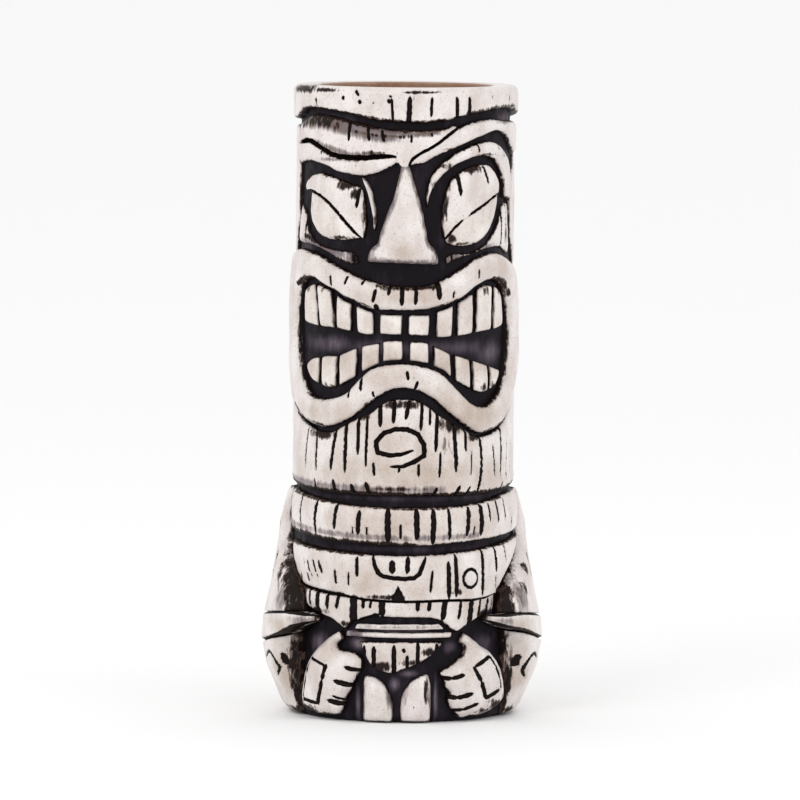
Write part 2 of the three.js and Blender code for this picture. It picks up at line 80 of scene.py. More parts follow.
# A smooth line through places: cubic Hermite pieces with slopes from the neighbours, read at equal lengths.
def smoothLine(places, count):
    points = np.array(places, float) * [mmPerDegree, 1]
    chords = np.sqrt(np.linalg.norm(np.diff(points, axis=0), axis=1))
    knots = np.concatenate([[0], np.cumsum(chords)])
    slopes = np.gradient(points, knots, axis=0) if len(points) > 2 else np.repeat(
        (points[1:] - points[:1]) / knots[-1], 2, axis=0)
    t = np.linspace(0, knots[-1], 24 * len(points))
    i = np.clip(np.searchsorted(knots, t, side="right") - 1, 0, len(knots) - 2)
    span = (knots[i + 1] - knots[i])[:, None]
    s = (t[:, None] - knots[i][:, None]) / span
    line = ((2 * s ** 3 - 3 * s ** 2 + 1) * points[i] + (s ** 3 - 2 * s ** 2 + s) * span * slopes[i]
            + (3 * s ** 2 - 2 * s ** 3) * points[i + 1] + (s ** 3 - s ** 2) * span * slopes[i + 1])
    length = np.concatenate([[0], np.cumsum(np.linalg.norm(np.diff(line, axis=0), axis=1))])
    at = np.linspace(0, length[-1], count)
    even = np.stack([np.interp(at, length, line[:, k]) for k in (0, 1)], axis=1)
    return even / [mmPerDegree, 1], length[-1]


# Distance in millimetres from each point to a chain of straight segments, and the share along the chain.
def distanceTo(angle, height, chain):
    x, y = angle * mmPerDegree, height
    px, py = chain[:, 0] * mmPerDegree, chain[:, 1]
    lengths = np.concatenate([[0], np.cumsum(np.hypot(np.diff(px), np.diff(py)))])
    best = np.full(x.shape, 1e9)
    share = np.zeros(x.shape)
    for k in range(len(px) - 1):
        dx, dy = px[k + 1] - px[k], py[k + 1] - py[k]
        size = dx * dx + dy * dy + 1e-12
        s = np.clip(((x - px[k]) * dx + (y - py[k]) * dy) / size, 0, 1)
        d = np.hypot(x - px[k] - s * dx, y - py[k] - s * dy)
        closer = d < best
        best = np.where(closer, d, best)
        share = np.where(closer, (lengths[k] + s * math.sqrt(size)) / (lengths[-1] + 1e-12), share)
    return best, share


# Carved cuts: each is a trough along its line, tapering at its ends, or a wedge where its width is a pair.
# Gives the depth to take off and how dark it is.
def carve(angle, height, cuts):
    depth = np.zeros(angle.shape)
    dark = np.zeros(angle.shape)
    for places, width, deep in cuts:
        chain = smoothLine(places, 14)[0] if len(places) > 2 else np.array(places, float)
        wedge = isinstance(width, tuple)
        reach = (max(width) if wedge else width) + 1.2
        low, high = chain.min(axis=0), chain.max(axis=0)
        near = ((angle > low[0] - reach / mmPerDegree) & (angle < high[0] + reach / mmPerDegree)
                & (height > low[1] - reach) & (height < high[1] + reach))
        if not near.any():
            continue
        d, s = distanceTo(angle[near], height[near], chain)
        wobble = 1 + 0.15 * waves(angle[near], height[near], 0.9, reach)
        taper = np.clip(np.minimum(s, 1 - s) * 6, 0, 1) ** 0.5
        full = width[0] + (width[1] - width[0]) * s if wedge else width * (0.35 + 0.65 * taper)
        half = full / 2 * wobble
        inside = np.clip(1 - (d / half) ** 2, 0, 1)
        depth[near] = np.maximum(depth[near], deep * inside ** 0.7)
        dark[near] = np.maximum(dark[near], np.clip(1.5 - d / half, 0, 1))
    return depth, dark


# Stains: soft patches of wash; the same patches also lay painted shade, painted highlight and the beige
# tint. A patch is (angle, height, half width in degrees, half height, strength), or a brushed line, (places,
# half width in millimetres, strength). It fades away from its middle.
def stains(angle, height, patches):
    dark = np.zeros(angle.shape)
    for patch in patches:
        strength = patch[-1]
        if len(patch) == 3:
            r = distanceTo(angle, height, np.array(patch[0], float))[0] / patch[1]
        else:
            r = np.hypot((angle - patch[0]) / patch[2], (height - patch[1]) / patch[3])
        dark = np.maximum(dark, strength * np.clip(1.35 - r, 0, 1))
    return dark


def newMesh(name, points, quads, ends=()):
    mesh = bpy.data.meshes.new(name)
    corners = np.concatenate([quads.ravel(), np.concatenate(ends) if len(ends) else np.zeros(0, int)])
    sizes = np.concatenate([np.full(len(quads), 4), np.array([len(e) for e in ends], int)])
    mesh.vertices.add(len(points))
    mesh.vertices.foreach_set("co", (points * 0.001).astype(np.float32).ravel())
    mesh.loops.add(len(corners))
    mesh.loops.foreach_set("vertex_index", corners.astype(np.int32))
    mesh.polygons.add(len(sizes))
    starts = np.concatenate([[0], np.cumsum(sizes)[:-1]])
    mesh.polygons.foreach_set("loop_start", starts.astype(np.int32))
    mesh.update(calc_edges=True)
    mesh.polygons.foreach_set("use_smooth", np.ones(len(sizes), bool))
    return mesh


def putIn(name, mesh, attributes, material):
    for key, values in attributes.items():
        layer = mesh.attributes.new(key, "FLOAT", "POINT")
        layer.data.foreach_set("value", values.astype(np.float32))
    piece = bpy.data.objects.new(name + "_clay", mesh)
    bpy.context.scene.collection.objects.link(piece)
    piece.data.materials.append(material)
    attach(piece, "root")
    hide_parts(name)


def onWall(angle, height, radius):
    a = np.radians(angle)
    return np.stack([radius * np.sin(a), -radius * np.cos(a), height * stretch], axis=-1)


# A sprig: a grid between two edge lines. Its front stands out by rise times a rounded profile of the
# distance to its border, less the carved cuts. Its back lies sunk in the wall and closes the shell.
def makeSprig(name, look, material):
    step = look.get("step", 0.36)
    lengthA = smoothLine(look["first"], 8)[1]
    lengthB = smoothLine(look["second"], 8)[1]
    columns = max(8, int(max(lengthA, lengthB) / step))
    first = smoothLine(look["first"], columns + 1)[0]
    second = smoothLine(look["second"], columns + 1)[0]
    across = np.hypot((second - first)[:, 0] * mmPerDegree, (second - first)[:, 1]).max()
    rows = max(6, int(across / step))
    v = np.linspace(0, 1, rows + 1)[None, :]
    angle = first[:, :1] + (second[:, :1] - first[:, :1]) * v
    height = first[:, 1:] + (second[:, 1:] - first[:, 1:]) * v
    joined = look.get("joined", "")
    turn = look.get("round", 1.5)
    turns = turn if isinstance(turn, dict) else {side: turn for side in "fsaz"}
    start, end = np.array([first[0], second[0]]), np.array([first[-1], second[-1]])
    chains = {"f": first, "s": second, "a": start, "z": end}
    away = {}
    for side, chain in chains.items():
        if side in joined:
            away[side] = np.full(angle.shape, 60.0)
        else:
            thin = chain[:: max(1, len(chain) // 90)] if len(chain) > 2 else chain
            away[side] = distanceTo(angle, height, np.vstack([thin, chain[-1:]]))[0]
    for side, low, high in look.get("open", []):
        away[side] = away[side] + 4 * np.clip(np.minimum(angle - low, high - angle) * mmPerDegree, 0, None)
    ragged = 0.07 * (1 + waves(angle, height, 2.2))
    corner = look.get("corner", 1.0)

    # The nearer of two borders, with the corner between them rounded off.
    def nearer(a, b):
        return (1 - corner) * np.minimum(a, b) + corner * (a + b - np.sqrt(a * a + b * b))

    border = nearer(np.minimum(away["f"], away["s"]), np.minimum(away["a"], away["z"]))
    border = np.clip(border - ragged, 0, None)
    share = nearer(np.minimum(away["f"] / turns["f"], away["s"] / turns["s"]),
                   np.minimum(away["a"] / turns["a"], away["z"] / turns["z"]))
    share = np.clip(share - ragged / 1.5, 0, 1)
    swell = look.get("swell", 0.25)
    half = across / 2
    profile = (1 - (1 - share) ** 2.3) ** 0.5
    dome = np.clip(border / max(half, 0.1), 0, 1)
    profile = profile * (1 - swell) + swell * np.sin(dome * math.pi / 2)
    rise = look["rise"](angle, height) if callable(look["rise"]) else look["rise"]
    deep, cutDark = carve(angle, height, look.get("cuts", []))
    wavy = look.get("wavy", 0.12) * waves(angle, height, 6.5, 3.0) + 0.05 * waves(angle, height, 1.9, 5.0)
    sink = 0.5
    lift = -sink + (rise + sink) * profile + wavy * profile - deep
    lift = np.maximum(lift, -sink)
    radius = wallRadius(height) + lift
    front = onWall(angle, height, radius)
    rim = np.clip(1 - border / (2 * look.get("edge", 0.42)), 0, 1)
    stain = stains(angle, height, look.get("stains", []))
    thin = stains(angle, height, look.get("thin", []))
    thin = np.maximum(thin, np.clip(1.3 - border / look.get("thinEdge", 0.6), 0, 0.8))
    poolAndShadeTint = stains(angle, height, look.get("beigePoolAndShade", []))
    span = np.abs(second[:, 0] - first[:, 0]).max()
    backRows = max(1, int(math.ceil(span / 8)))
    w = np.linspace(0, 1, backRows + 1)[None, :]
    backAngle = first[:, :1] + (second[:, :1] - first[:, :1]) * w
    backHeight = first[:, 1:] + (second[:, 1:] - first[:, 1:]) * w
    back = onWall(backAngle, backHeight, wallRadius(backHeight) - sink - 0.8)
    n, m, b = columns + 1, rows + 1, backRows + 1
    f = np.arange(n * m).reshape(n, m)
    k = n * m + np.arange(n * b).reshape(n, b)

    def quads(g):
        return np.stack([g[:-1, :-1], g[1:, :-1], g[1:, 1:], g[:-1, 1:]], axis=-1).reshape(-1, 4)

    strips = [quads(f), quads(k)[:, ::-1],
              np.stack([f[:-1, 0], k[:-1, 0], k[1:, 0], f[1:, 0]], axis=-1),
              np.stack([f[1:, -1], k[1:, -1], k[:-1, -1], f[:-1, -1]], axis=-1)]
    faces = np.concatenate(strips)
    ends = [np.concatenate([f[0], k[0][::-1]]), np.concatenate([f[-1][::-1], k[-1]])]
    points = np.concatenate([front.reshape(-1, 3), back.reshape(-1, 3)])
    mid = points[f[n // 2, m // 2]]
    u = points[f[n // 2 + 1, m // 2]] - mid
    t = points[f[n // 2, m // 2 + 1]] - mid
    if np.dot(np.cross(u, t), mid * [1, 1, 0]) < 0:
        faces = faces[:, ::-1]
        ends = [e[::-1] for e in ends]
    mesh = newMesh(name + "_clay", points, faces, ends)
    pad = np.zeros(n * b)
    attributes = {"wash": np.concatenate([rim.ravel(), pad + 1]),
                  "cut": np.concatenate([cutDark.ravel(), pad]),
                  "stain": np.concatenate([stain.ravel(), pad]),
                  "thin": np.concatenate([thin.ravel(), pad]),
                  "poolAndShadeTint": np.concatenate([poolAndShadeTint.ravel(), pad])}
    putIn(name, mesh, attributes, material)


# Finishes
def node(tree, kind, place, **values):
    n = tree.nodes.new(kind)
    n.location = place
    for key, value in values.items():
        if key in n.inputs:
            n.inputs[key].default_value = value
        else:
            setattr(n, key, value)
    return n


def maths(tree, operation, a, b=None, clamp=False):
    n = tree.nodes.new("ShaderNodeMath")
    n.operation = operation
    n.use_clamp = clamp
    for i, value in enumerate((a, b)):
        if value is None:
            continue
        if isinstance(value, (int, float)):
            n.inputs[i].default_value = value
        else:
            tree.links.new(value, n.inputs[i])
    return n.outputs[0]


def noise(tree, coordinates, stretchBy, scale, detail=3.0, roughness=0.6):
    mapping = node(tree, "ShaderNodeMapping", (0, 0), Scale=stretchBy)
    tree.links.new(coordinates, mapping.inputs["Vector"])
    n = node(tree, "ShaderNodeTexNoise", (0, 0), Scale=scale, Detail=detail, Roughness=roughness)
    tree.links.new(mapping.outputs[0], n.inputs["Vector"])
    return n.outputs["Fac"]


def ramp(tree, value, stops):
    n = tree.nodes.new("ShaderNodeValToRGB")
    while len(n.color_ramp.elements) < len(stops):
        n.color_ramp.elements.new(0.5)
    for element, (place, colour) in zip(n.color_ramp.elements, stops):
        element.position = place
        element.color = (*colour, 1)
    tree.links.new(value, n.inputs["Fac"])
    return n.outputs["Color"]


def attribute(tree, name):
    n = tree.nodes.new("ShaderNodeAttribute")
    n.attribute_name = name
    return n.outputs["Fac"]


# A bare finish: the material, its tree, its shader joined to the output, and the object's coordinates.
def newFinish(name):
    material = bpy.data.materials.new(name)
    material.use_nodes = True
    tree = material.node_tree
    tree.nodes.clear()
    out = node(tree, "ShaderNodeOutputMaterial", (900, 0))
    shader = node(tree, "ShaderNodeBsdfPrincipled", (600, 0))
    tree.links.new(shader.outputs[0], out.inputs[0])
    place = node(tree, "ShaderNodeTexCoord", (-900, 0)).outputs["Object"]
    return material, tree, shader, place


# Fine relief: a height bumps the shader's normal.
def relief(tree, shader, height, strength, distance):
    bump = node(tree, "ShaderNodeBump", (300, -300), Strength=strength, Distance=distance)
    tree.links.new(height, bump.inputs["Height"])
    tree.links.new(bump.outputs[0], shader.inputs["Normal"])


glaze = {
    "cream": (0.79, 0.745, 0.73), "ivory": (0.82, 0.775, 0.735), "dull": (0.60, 0.525, 0.49),
    "beige": (0.46, 0.37, 0.305), "brown": (0.10, 0.056, 0.04), "purple": (0.10, 0.075, 0.095),
    "black": (0.008, 0.0045, 0.004), "roughness": 0.4, "coat": 0.2,
}


# Glazed clay: cream glaze, beige where glaze pools and as painted occlusion shade, under matte washes. Each
# wash covers where its strength plus a brushed noise, drawn out upwards, passes a threshold: thin
# grey-purple (on the nose's sides and below the rim's groove also painted shade), then brown, then black.
def clayFinish(name, pale):
    material, tree, shader, place = newFinish(name)
    brush = noise(tree, place, (1.0, 1.0, 0.16), 900.0, 2.0, 0.6)
    ragged = noise(tree, place, (1.0, 1.0, 0.45), 420.0, 4.0, 0.7)
    cloud = noise(tree, place, (1.0, 1.0, 0.6), 120.0, 5.0, 0.6)
    speck = noise(tree, place, (1.0, 1.0, 1.0), 2100.0, 1.0, 0.5)
    rough = maths(tree, "SUBTRACT", maths(tree, "ADD", brush, ragged), 1.0)

    def layered(below, factor, colour, blend="MIX"):
        mix = node(tree, "ShaderNodeMix", (0, 0), data_type="RGBA", blend_type=blend)
        if isinstance(factor, float):
            mix.inputs[0].default_value = factor
        else:
            tree.links.new(factor, mix.inputs[0])
        for socket, value in ((6, below), (7, colour)):
            if isinstance(value, tuple):
                mix.inputs[socket].default_value = (*value, 1)
            else:
                tree.links.new(value, mix.inputs[socket])
        return mix.outputs[2]

    # Beige tint: glaze pooling, and painted occlusion shade in low and tucked-under places, varied by the
    # cloud noise.
    poolAndShadeTint = maths(tree, "MULTIPLY", attribute(tree, "poolAndShadeTint"), maths(tree, "ADD", cloud, 0.25))
    poolAndShadeTint = maths(tree, "ADD", poolAndShadeTint, maths(tree, "MULTIPLY", maths(tree, "SUBTRACT", cloud, 0.5), 0.5), True)
    aged = ramp(tree, cloud, [(0.36, (0.1, 0.1, 0.1)), (0.64, (0.85, 0.85, 0.85))])
    colour = layered(layered(pale, aged, glaze["dull"]), poolAndShadeTint, glaze["beige"])
    fleck = ramp(tree, speck, [(0.0, (0.35, 0.26, 0.2)), (0.3, (0.74, 0.68, 0.63)), (0.42, (1, 1, 1))])
    colour = layered(colour, 0.8, fleck, "MULTIPLY")
    thin = maths(tree, "ADD", attribute(tree, "thin"), maths(tree, "MULTIPLY", rough, 1.2))
    thin = ramp(tree, thin, [(0.3, (0, 0, 0)), (0.7, (0.7, 0.7, 0.7)), (1.0, (0.94, 0.94, 0.94))])
    purpleAt = ramp(tree, cloud, [(0.4, (0, 0, 0)), (0.55, (1, 1, 1))])
    earth = layered(glaze["brown"], purpleAt, glaze["purple"])
    colour = layered(colour, thin, earth)
    stain = maths(tree, "ADD", attribute(tree, "stain"), maths(tree, "MULTIPLY", rough, 1.35))
    brown = ramp(tree, stain, [(0.42, (0, 0, 0)), (0.58, (0.8, 0.8, 0.8))])
    colour = layered(colour, brown, glaze["brown"])
    pooled = ramp(tree, stain, [(0.6, (0, 0, 0)), (0.8, (0.96, 0.96, 0.96))])
    colour = layered(colour, pooled, glaze["black"])
    edge = maths(tree, "ADD", attribute(tree, "wash"), maths(tree, "MULTIPLY", rough, 0.9))
    colour = layered(colour, ramp(tree, edge, [(0.36, (0, 0, 0)), (0.5, (0.7, 0.7, 0.7))]), glaze["brown"])
    border = ramp(tree, edge, [(0.5, (0, 0, 0)), (0.64, (1, 1, 1))])
    colour = layered(colour, border, glaze["black"])
    ink = maths(tree, "ADD", attribute(tree, "cut"), maths(tree, "MULTIPLY", rough, 0.35))
    ink = ramp(tree, ink, [(0.42, (0, 0, 0)), (0.58, (1, 1, 1))])
    colour = layered(colour, ink, glaze["black"])
    tree.links.new(colour, shader.inputs["Base Color"])
    matte = maths(tree, "MAXIMUM", maths(tree, "MAXIMUM", pooled, border), ink)
    shiny = maths(tree, "SUBTRACT", 1.0, matte)
    specular = maths(tree, "ADD", maths(tree, "MULTIPLY", shiny, 0.42), 0.08)
    tree.links.new(specular, shader.inputs["Specular IOR Level"])
    tree.links.new(maths(tree, "MULTIPLY", shiny, glaze["coat"]), shader.inputs["Coat Weight"])
    shader.inputs["Roughness"].default_value = glaze["roughness"]
    shader.inputs["Coat Roughness"].default_value = 0.18
    relief(tree, shader, maths(tree, "ADD", ragged, maths(tree, "MULTIPLY", brush, 0.5)), 0.22, 0.0003)
    return material


# Stained recess: dark wash, thin enough in places for purple-grey to show through it in brush streaks; the
# lighter purple-grey also stands in for gloss highlights, painted into the colour.
def recessFinish(name):
    material, tree, shader, place = newFinish(name)
    streak = noise(tree, place, (1.0, 1.0, 0.2), 420.0, 4.0, 0.65)
    cloud = noise(tree, place, (1.0, 1.0, 0.6), 90.0, 3.0, 0.6)
    thin = maths(tree, "ADD", maths(tree, "MULTIPLY", streak, 0.38), maths(tree, "MULTIPLY", cloud, 0.62))
    thin = maths(tree, "ADD", thin, maths(tree, "MULTIPLY", attribute(tree, "thin"), 0.5))
    # Lighter stops: thin wash and painted gloss highlight.
    colour = ramp(tree, thin, [(0.0, glaze["black"]), (0.52, (0.008, 0.006, 0.009)),
                               (0.66, (0.024, 0.018, 0.026)), (0.86, (0.075, 0.058, 0.074)),
                               (1.0, (0.16, 0.125, 0.15))])
    tree.links.new(colour, shader.inputs["Base Color"])
    shader.inputs["Roughness"].default_value = 0.5
    shader.inputs["Specular IOR Level"].default_value = 0.07
    relief(tree, shader, streak, 0.4, 0.0005)
    return material


# Inner glaze: glossy tan, mottled by a cloud noise and fine flecks.
def liningFinish(name):
    material, tree, shader, place = newFinish(name)
    cloud = noise(tree, place, (1.0, 1.0, 0.5), 60.0, 4.0, 0.6)
    fleck = noise(tree, place, (1.0, 1.0, 1.0), 900.0, 2.0, 0.6)
    mixed = maths(tree, "ADD", maths(tree, "MULTIPLY", cloud, 0.7), maths(tree, "MULTIPLY", fleck, 0.3))
    colour = ramp(tree, mixed, [(0.3, (0.26, 0.13, 0.075)), (0.5, (0.36, 0.215, 0.145)),
                                (0.7, (0.46, 0.31, 0.22))])
    tree.links.new(colour, shader.inputs["Base Color"])
    shader.inputs["Roughness"].default_value = 0.16
    shader.inputs["Coat Weight"].default_value = 0.4
    return material


cream = clayFinish("creamGlaze", glaze["cream"])
ivory = clayFinish("toothGlaze", glaze["ivory"])
recess = recessFinish("recessWashAndSheen")
tan = liningFinish("innerGlaze")


# Cup, lining and rim
# A turned shell: rows of (radius, height) swept round the axis. Its rows close on each other, or its first
# and last rows are capped.
def ringShell(name, radius, height, attributes, material, capped=False):
    rows, columns = radius.shape
    a = np.linspace(0, 2 * math.pi, columns, endpoint=False)[None, :] + 0 * radius
    points = np.stack([radius * np.sin(a), -radius * np.cos(a), height * stretch], axis=-1).reshape(-1, 3)
    g = np.arange(rows * columns).reshape(rows, columns)
    caps = [g[0, ::-1], g[-1]] if capped else ()
    if not capped:
        g = np.vstack([g, g[:1]])
    g = np.hstack([g, g[:, :1]])
    faces = np.stack([g[:-1, :-1], g[:-1, 1:], g[1:, 1:], g[1:, :-1]], axis=-1).reshape(-1, 4)
    mesh = newMesh(name + "_clay", points, faces, caps)
    putIn(name, mesh, {k: v.ravel() for k, v in attributes.items()}, material)


def roundAngles(columns, rows):
    a = np.degrees(np.linspace(0, 2 * math.pi, columns, endpoint=False))[None, :] + np.zeros((rows, 1))
    return (a + 180) % 360 - 180


def arc(centreR, centreZ, radius, start, end, count):
    t = np.radians(np.linspace(start, end, count))
    return [(centreR + radius * math.cos(x), centreZ + radius * math.sin(x)) for x in t]


# The cup: outside wall in fine rows, brim, and cavity wall down to a rounded floor. Its flat foot and the
# middle of its floor are one cap each.
cup = {
    "columns": 300, "rowHeight": 0.75, "cavity": cavityRadius, "floor": 6.5, "corner": 9.0,
    # Lighter patches in the recess: thin wash, and painted gloss highlights inside the mouth, along the band
    # grooves and in arcs between the feet.
    "thin": [(-48, 197.5, 20, 3.0, 0.9), (72, 199, 12, 2.2, 0.7), (-68, 154, 6, 5, 0.7),
        (66, 160, 5, 8, 0.6), (-50, 25, 8, 4, 0.7), (48, 25, 8, 4, 0.6), (-66, 52, 5, 7, 0.8),
        (-5, 30.6, 22, 1.2, 0.6), (-23.4, 6, 1.0, 7, 1.1), (18.4, 8, 1.0, 8, 1.0), (-4, 13, 3, 2.4, 0.8),
        (4, 16.4, 5, 1.2, 0.8), (-23, 26, 5, 2.2, 1.0), (26, 25, 5, 2.4, 0.8), (0, 74.2, 90, 0.6, 0.4),
        (0, 57.6, 90, 0.5, 0.35), (0, 124, 60, 2.4, 0.6), (-46, 124.6, 20, 3, 0.8), (56, 122, 10, 4, 0.8),
        (54, 39, 5, 4, 0.9)],
}


def makeCup():
    outside = [(footRadius - 2.5, 0.0)] + arc(footRadius - 2.5, 2.5, 2.5, -80, -10, 5)
    outside += [(None, z) for z in np.arange(2.5, 208.2, cup["rowHeight"])]
    inside = arc(cup["cavity"] + 1.5, 207, 1.5, 100, 180, 5)
    inside += [(cup["cavity"], z) for z in np.linspace(200, 30, 8)]
    inside += arc(cup["cavity"] - cup["corner"], cup["floor"] + cup["corner"], cup["corner"], 0, -90, 8)
    rows = outside + [(headRadius - 1.5, 208.5)] + inside
    z = np.array([r[1] for r in rows])[:, None] + np.zeros((1, cup["columns"]))
    angle = roundAngles(cup["columns"], len(rows))
    wavy = 0.18 * waves(angle, z, 3.0, 1.0) + 0.12 * waves(angle, z, 1.3, 2.0)
    plain = np.array([0 if r[0] is None else r[0] for r in rows])[:, None]
    walls = np.array([[r[0] is None] for r in rows])
    radius = np.where(walls, wallRadius(z) - 0.15 + wavy, plain + 0 * z)
    thin = stains(angle, z, cup["thin"])
    ringShell("cup_body", radius, z, {"thin": thin}, recess, True)


makeCup()

lining = {
    "inner": cavityRadius - 1.1, "outer": cavityRadius - 0.3, "top": 209.7, "bottom": 6.8, "corner": 9.0,
}


def makeLining():
    low = lining["bottom"]
    corner = lining["corner"]
    centre = (lining["outer"] + 0.3 - corner, low - 0.3 + corner)
    rows = arc(*centre, corner - 0.3, -90, 0, 8)
    rows += [(lining["outer"], z) for z in np.linspace(30, lining["top"] - 0.6, 60)]
    rows += arc((lining["outer"] + lining["inner"]) / 2, lining["top"] - 0.4, 0.4, 0, 180, 7)
    rows += [(lining["inner"], z) for z in np.linspace(lining["top"] - 0.8, 30, 60)]
    rows += arc(*centre, corner - 1.1, 0, -90, 8)
    z = np.array([r[1] for r in rows])[:, None] + np.zeros((1, 180))
    radius = np.array([r[0] for r in rows])[:, None] + 0 * z
    ringShell("inner_glaze", radius, z, {"thin": 0 * z}, tan, True)


makeLining()

# Straight strokes: (angle and height at the top, angle and height at the bottom, width).
def strokes(rows, deep=1.0):
    return [([(a, z), (b, y)], width, deep) for a, z, b, y, width in rows]


# Wood grain: upright strokes about every pitch degrees, their ends and widths varied by slow sine waves.
def grain(start, end, low, high, pitch, longest, shift=0.0):
    rows = []
    for k in range(int((end - start) / pitch)):
        length = longest * (0.45 + 0.5 * math.sin(2.3 * k + shift) ** 2)
        top = high - (high - low - length) * (0.5 + 0.5 * math.sin(1.7 * k * k + shift))
        a = start + pitch * (k + 0.5 + 0.3 * math.sin(3.1 * k + shift))
        width = 0.9 + 0.4 * math.sin(1.3 * k + shift)
        rows.append((a, top, a + 0.8 * math.sin(k + shift), top - length, width))
    return strokes(rows)


rim = {
    "wave": [(-180, 199.2), (-140, 199), (-105, 198.4), (-88, 198), (-76, 198.6), (-68, 200.8),
        (-60, 202.1), (-30, 200.6), (-20, 199.2), (0, 198), (20, 198.5), (30, 199.8), (50, 201.8),
        (72, 202.2), (94, 199.4), (105, 199), (180, 199.2)],
    "columns": 640, "rise": 2.7,
    "strokes": [(-53, 206, -52, 201.6, 0.8), (-33.8, 206.8, -33.8, 205.6, 1.2),
        (-26.6, 208.8, -24.6, 207, 1.0), (-24.2, 205.6, -24, 204.4, 1.3), (-8.4, 207.2, -7.4, 206.8, 0.8),
        (-8.8, 206, -8.4, 204.8, 1.3), (-7.2, 206.2, -6.6, 198.6, 0.9), (2, 206.8, 1.4, 197.6, 1.7),
        (13.4, 206.8, 13, 200.4, 1.1), (26.8, 206.8, 27.4, 199.6, 1.3), (34.2, 206.8, 34.6, 201, 1.3),
        (50, 207, 50, 206.2, 0.6), (67, 207, 67, 204.6, 0.6), (-17, 205, -17, 204.4, 0.4),
        (-80, 207, -80, 203, 0.9), (92, 207, 92, 203, 1.0)],
    "stains": [(-66, 208.6, 16, 1.7, 1.02), (-46, 208.6, 12, 0.8, 0.95), (8, 208.4, 12, 0.6, 1.0),
        ([(-66, 201.6), (-50, 202.4), (-30, 201)], 0.9, 0.85), ([(-30, 201), (0, 198.4),
        (24, 199.4)], 0.7, 0.8), ([(34, 200.8), (56, 202.8), (74, 202.8)], 1.5, 0.85)],
}


def makeRim():
    columns = rim["columns"]
    r0 = headRadius + rim["rise"]
    inner = cavityRadius - 0.2
    outer = 30
    wave = smoothLine(rim["wave"], 400)[0]
    lip = arc(r0 - 2.3, 207.6, 2.3, 12, 90, 9) + arc(inner + 0.9, 208.9, 0.9, 80, 180, 8)
    lip += [(inner, 206.4), (headRadius - 1.2, 206.2), (headRadius - 0.8, 205)]
    angle = roundAngles(columns, outer + len(lip) + 1)
    low = np.interp(angle[0], wave[:, 0], wave[:, 1])
    share = np.linspace(0, 1, outer)[:, None]
    lipR, lipZ = np.array(lip).T[:, :, None] + np.zeros((1, 1, columns))
    z = np.vstack([low[None, :] + (207.6 - low[None, :]) * share, lipZ, low[None, :] - 0.1])
    flat = np.vstack([np.full((outer, columns), r0), lipR, np.full((1, columns), headRadius - 0.8)])
    border = np.clip((z - low[None, :]) - 0.16 * (1 + waves(angle, z, 2.2)), 0, None)
    border[outer:] = 9
    profile = (1 - (1 - np.clip(border / 1.5, 0, 1)) ** 2.3) ** 0.5
    surface = np.arange(len(z))[:, None] < outer + 12
    wavy = 0.12 * waves(angle, z, 6.5, 3.0) + 0.05 * waves(angle, z, 1.9, 5.0)
    deep, dark = carve(angle, z, strokes(rim["strokes"]))
    lift = np.where(surface, -(1 - profile) * (rim["rise"] + 0.5) + (wavy - 0.12) - deep, 0)
    radius = flat + lift
    rimWash = np.where(surface, np.clip(1 - border / 1.5, 0, 1), 0)
    stain = np.where(surface, stains(angle, z, rim["stains"]), 0)
    attributes = {"wash": rimWash, "cut": np.where(surface, dark, 0), "stain": stain, "poolAndShadeTint": 0 * z,
                  "thin": np.where(surface, np.clip(1.3 - border / 0.9, 0, 0.8), 0)}
    ringShell("rim_band", radius, z, attributes, cream)


makeRim()
print("cup, lining and rim made")


# Forehead, brows and the carved lines between them
lines = {
    "brow": [(-76, 190.2), (-60, 191.7), (-54, 190.9), (-46, 188.6), (-38, 187), (-20, 186.7),
        (-12, 187.3)],
    "frown": [(3, 186), (8, 188.4), (15, 190.8), (25, 195.4), (29, 196.8)],
    "leftLid": [(-66, 174.7), (-57, 174.9), (-45, 172.1), (-26, 161.4)],
    "rightLid": [(21.3, 159.6), (24, 161.9), (27, 164), (31.6, 166.3), (35, 167.6), (40, 169.4),
        (46, 171.4), (52, 173.3), (60.5, 174.9)],
    "collar": [(-54, 43.4), (-40, 42.4), (-30, 42), (-22, 41.2), (0, 40.5), (22, 40.8), (41, 40.6),
        (54, 42.2)],
}
browCut = [(-72, 190.6)] + lines["brow"][1:] + [(-5, 187.2)]
frownCut = [(1.6, 183.6)] + lines["frown"]
makeSprig("forehead", {
    "first": lines["brow"] + [(-6, 187.1), (-3.8, 185.8), (-2.2, 184.2), (1, 184)] + lines["frown"],
    "second": [(-76, 196.8), (-60, 200.4), (-50, 200.6), (-30, 198.9), (-20, 197.4), (-10, 196.4),
        (10, 196), (20, 196.6), (29, 197.9)],
    "rise": 2.5, "joined": "f", "round": 2.2,
    "cuts": [(browCut, 1.9, 2.0), (frownCut, 1.1, 1.6)] + strokes([(-30, 199, -30.5, 192.2, 1.3),
        (-20, 197, -19, 192.3, 1.1), (-12.6, 196, -11, 192, 1.0), (3, 194.4, 3, 191.8, 0.8),
        (13.6, 195, 13.8, 193.8, 0.8), (-46.4, 190.6, -46, 189.6, 0.5)]),
    # The wide thin band below the groove under the rim is grey-purple wash and painted shade, fading
    # downwards.
    "thin": [([(-66, 199), (-50, 199.2), (-36, 197.8), (-20, 195.8), (-8, 195)], 3.4, 1.45), ([(-8, 195.2),
        (4, 194.8), (16, 195.4)], 1.4, 1.0), ([(-54, 191.4), (-30, 187.4), (-12, 187.8)], 1.4, 0.8)],
    "stains": [([(-60, 200.4), (-50, 200.4), (-36, 199.4), (-20, 197.2), (0, 196), (20, 196.6)], 1.1, 1.05),
        ([(-28, 195.4), (-14, 194), (2, 193.8)], 0.8, 0.7), (-66, 196.6, 4, 1.2, 0.8),
        (-15, 188.3, 9, 1.0, 0.8), ([(-68, 198), (-52, 198.4), (-38, 197.2)], 2.4, 0.8)],
}, cream)
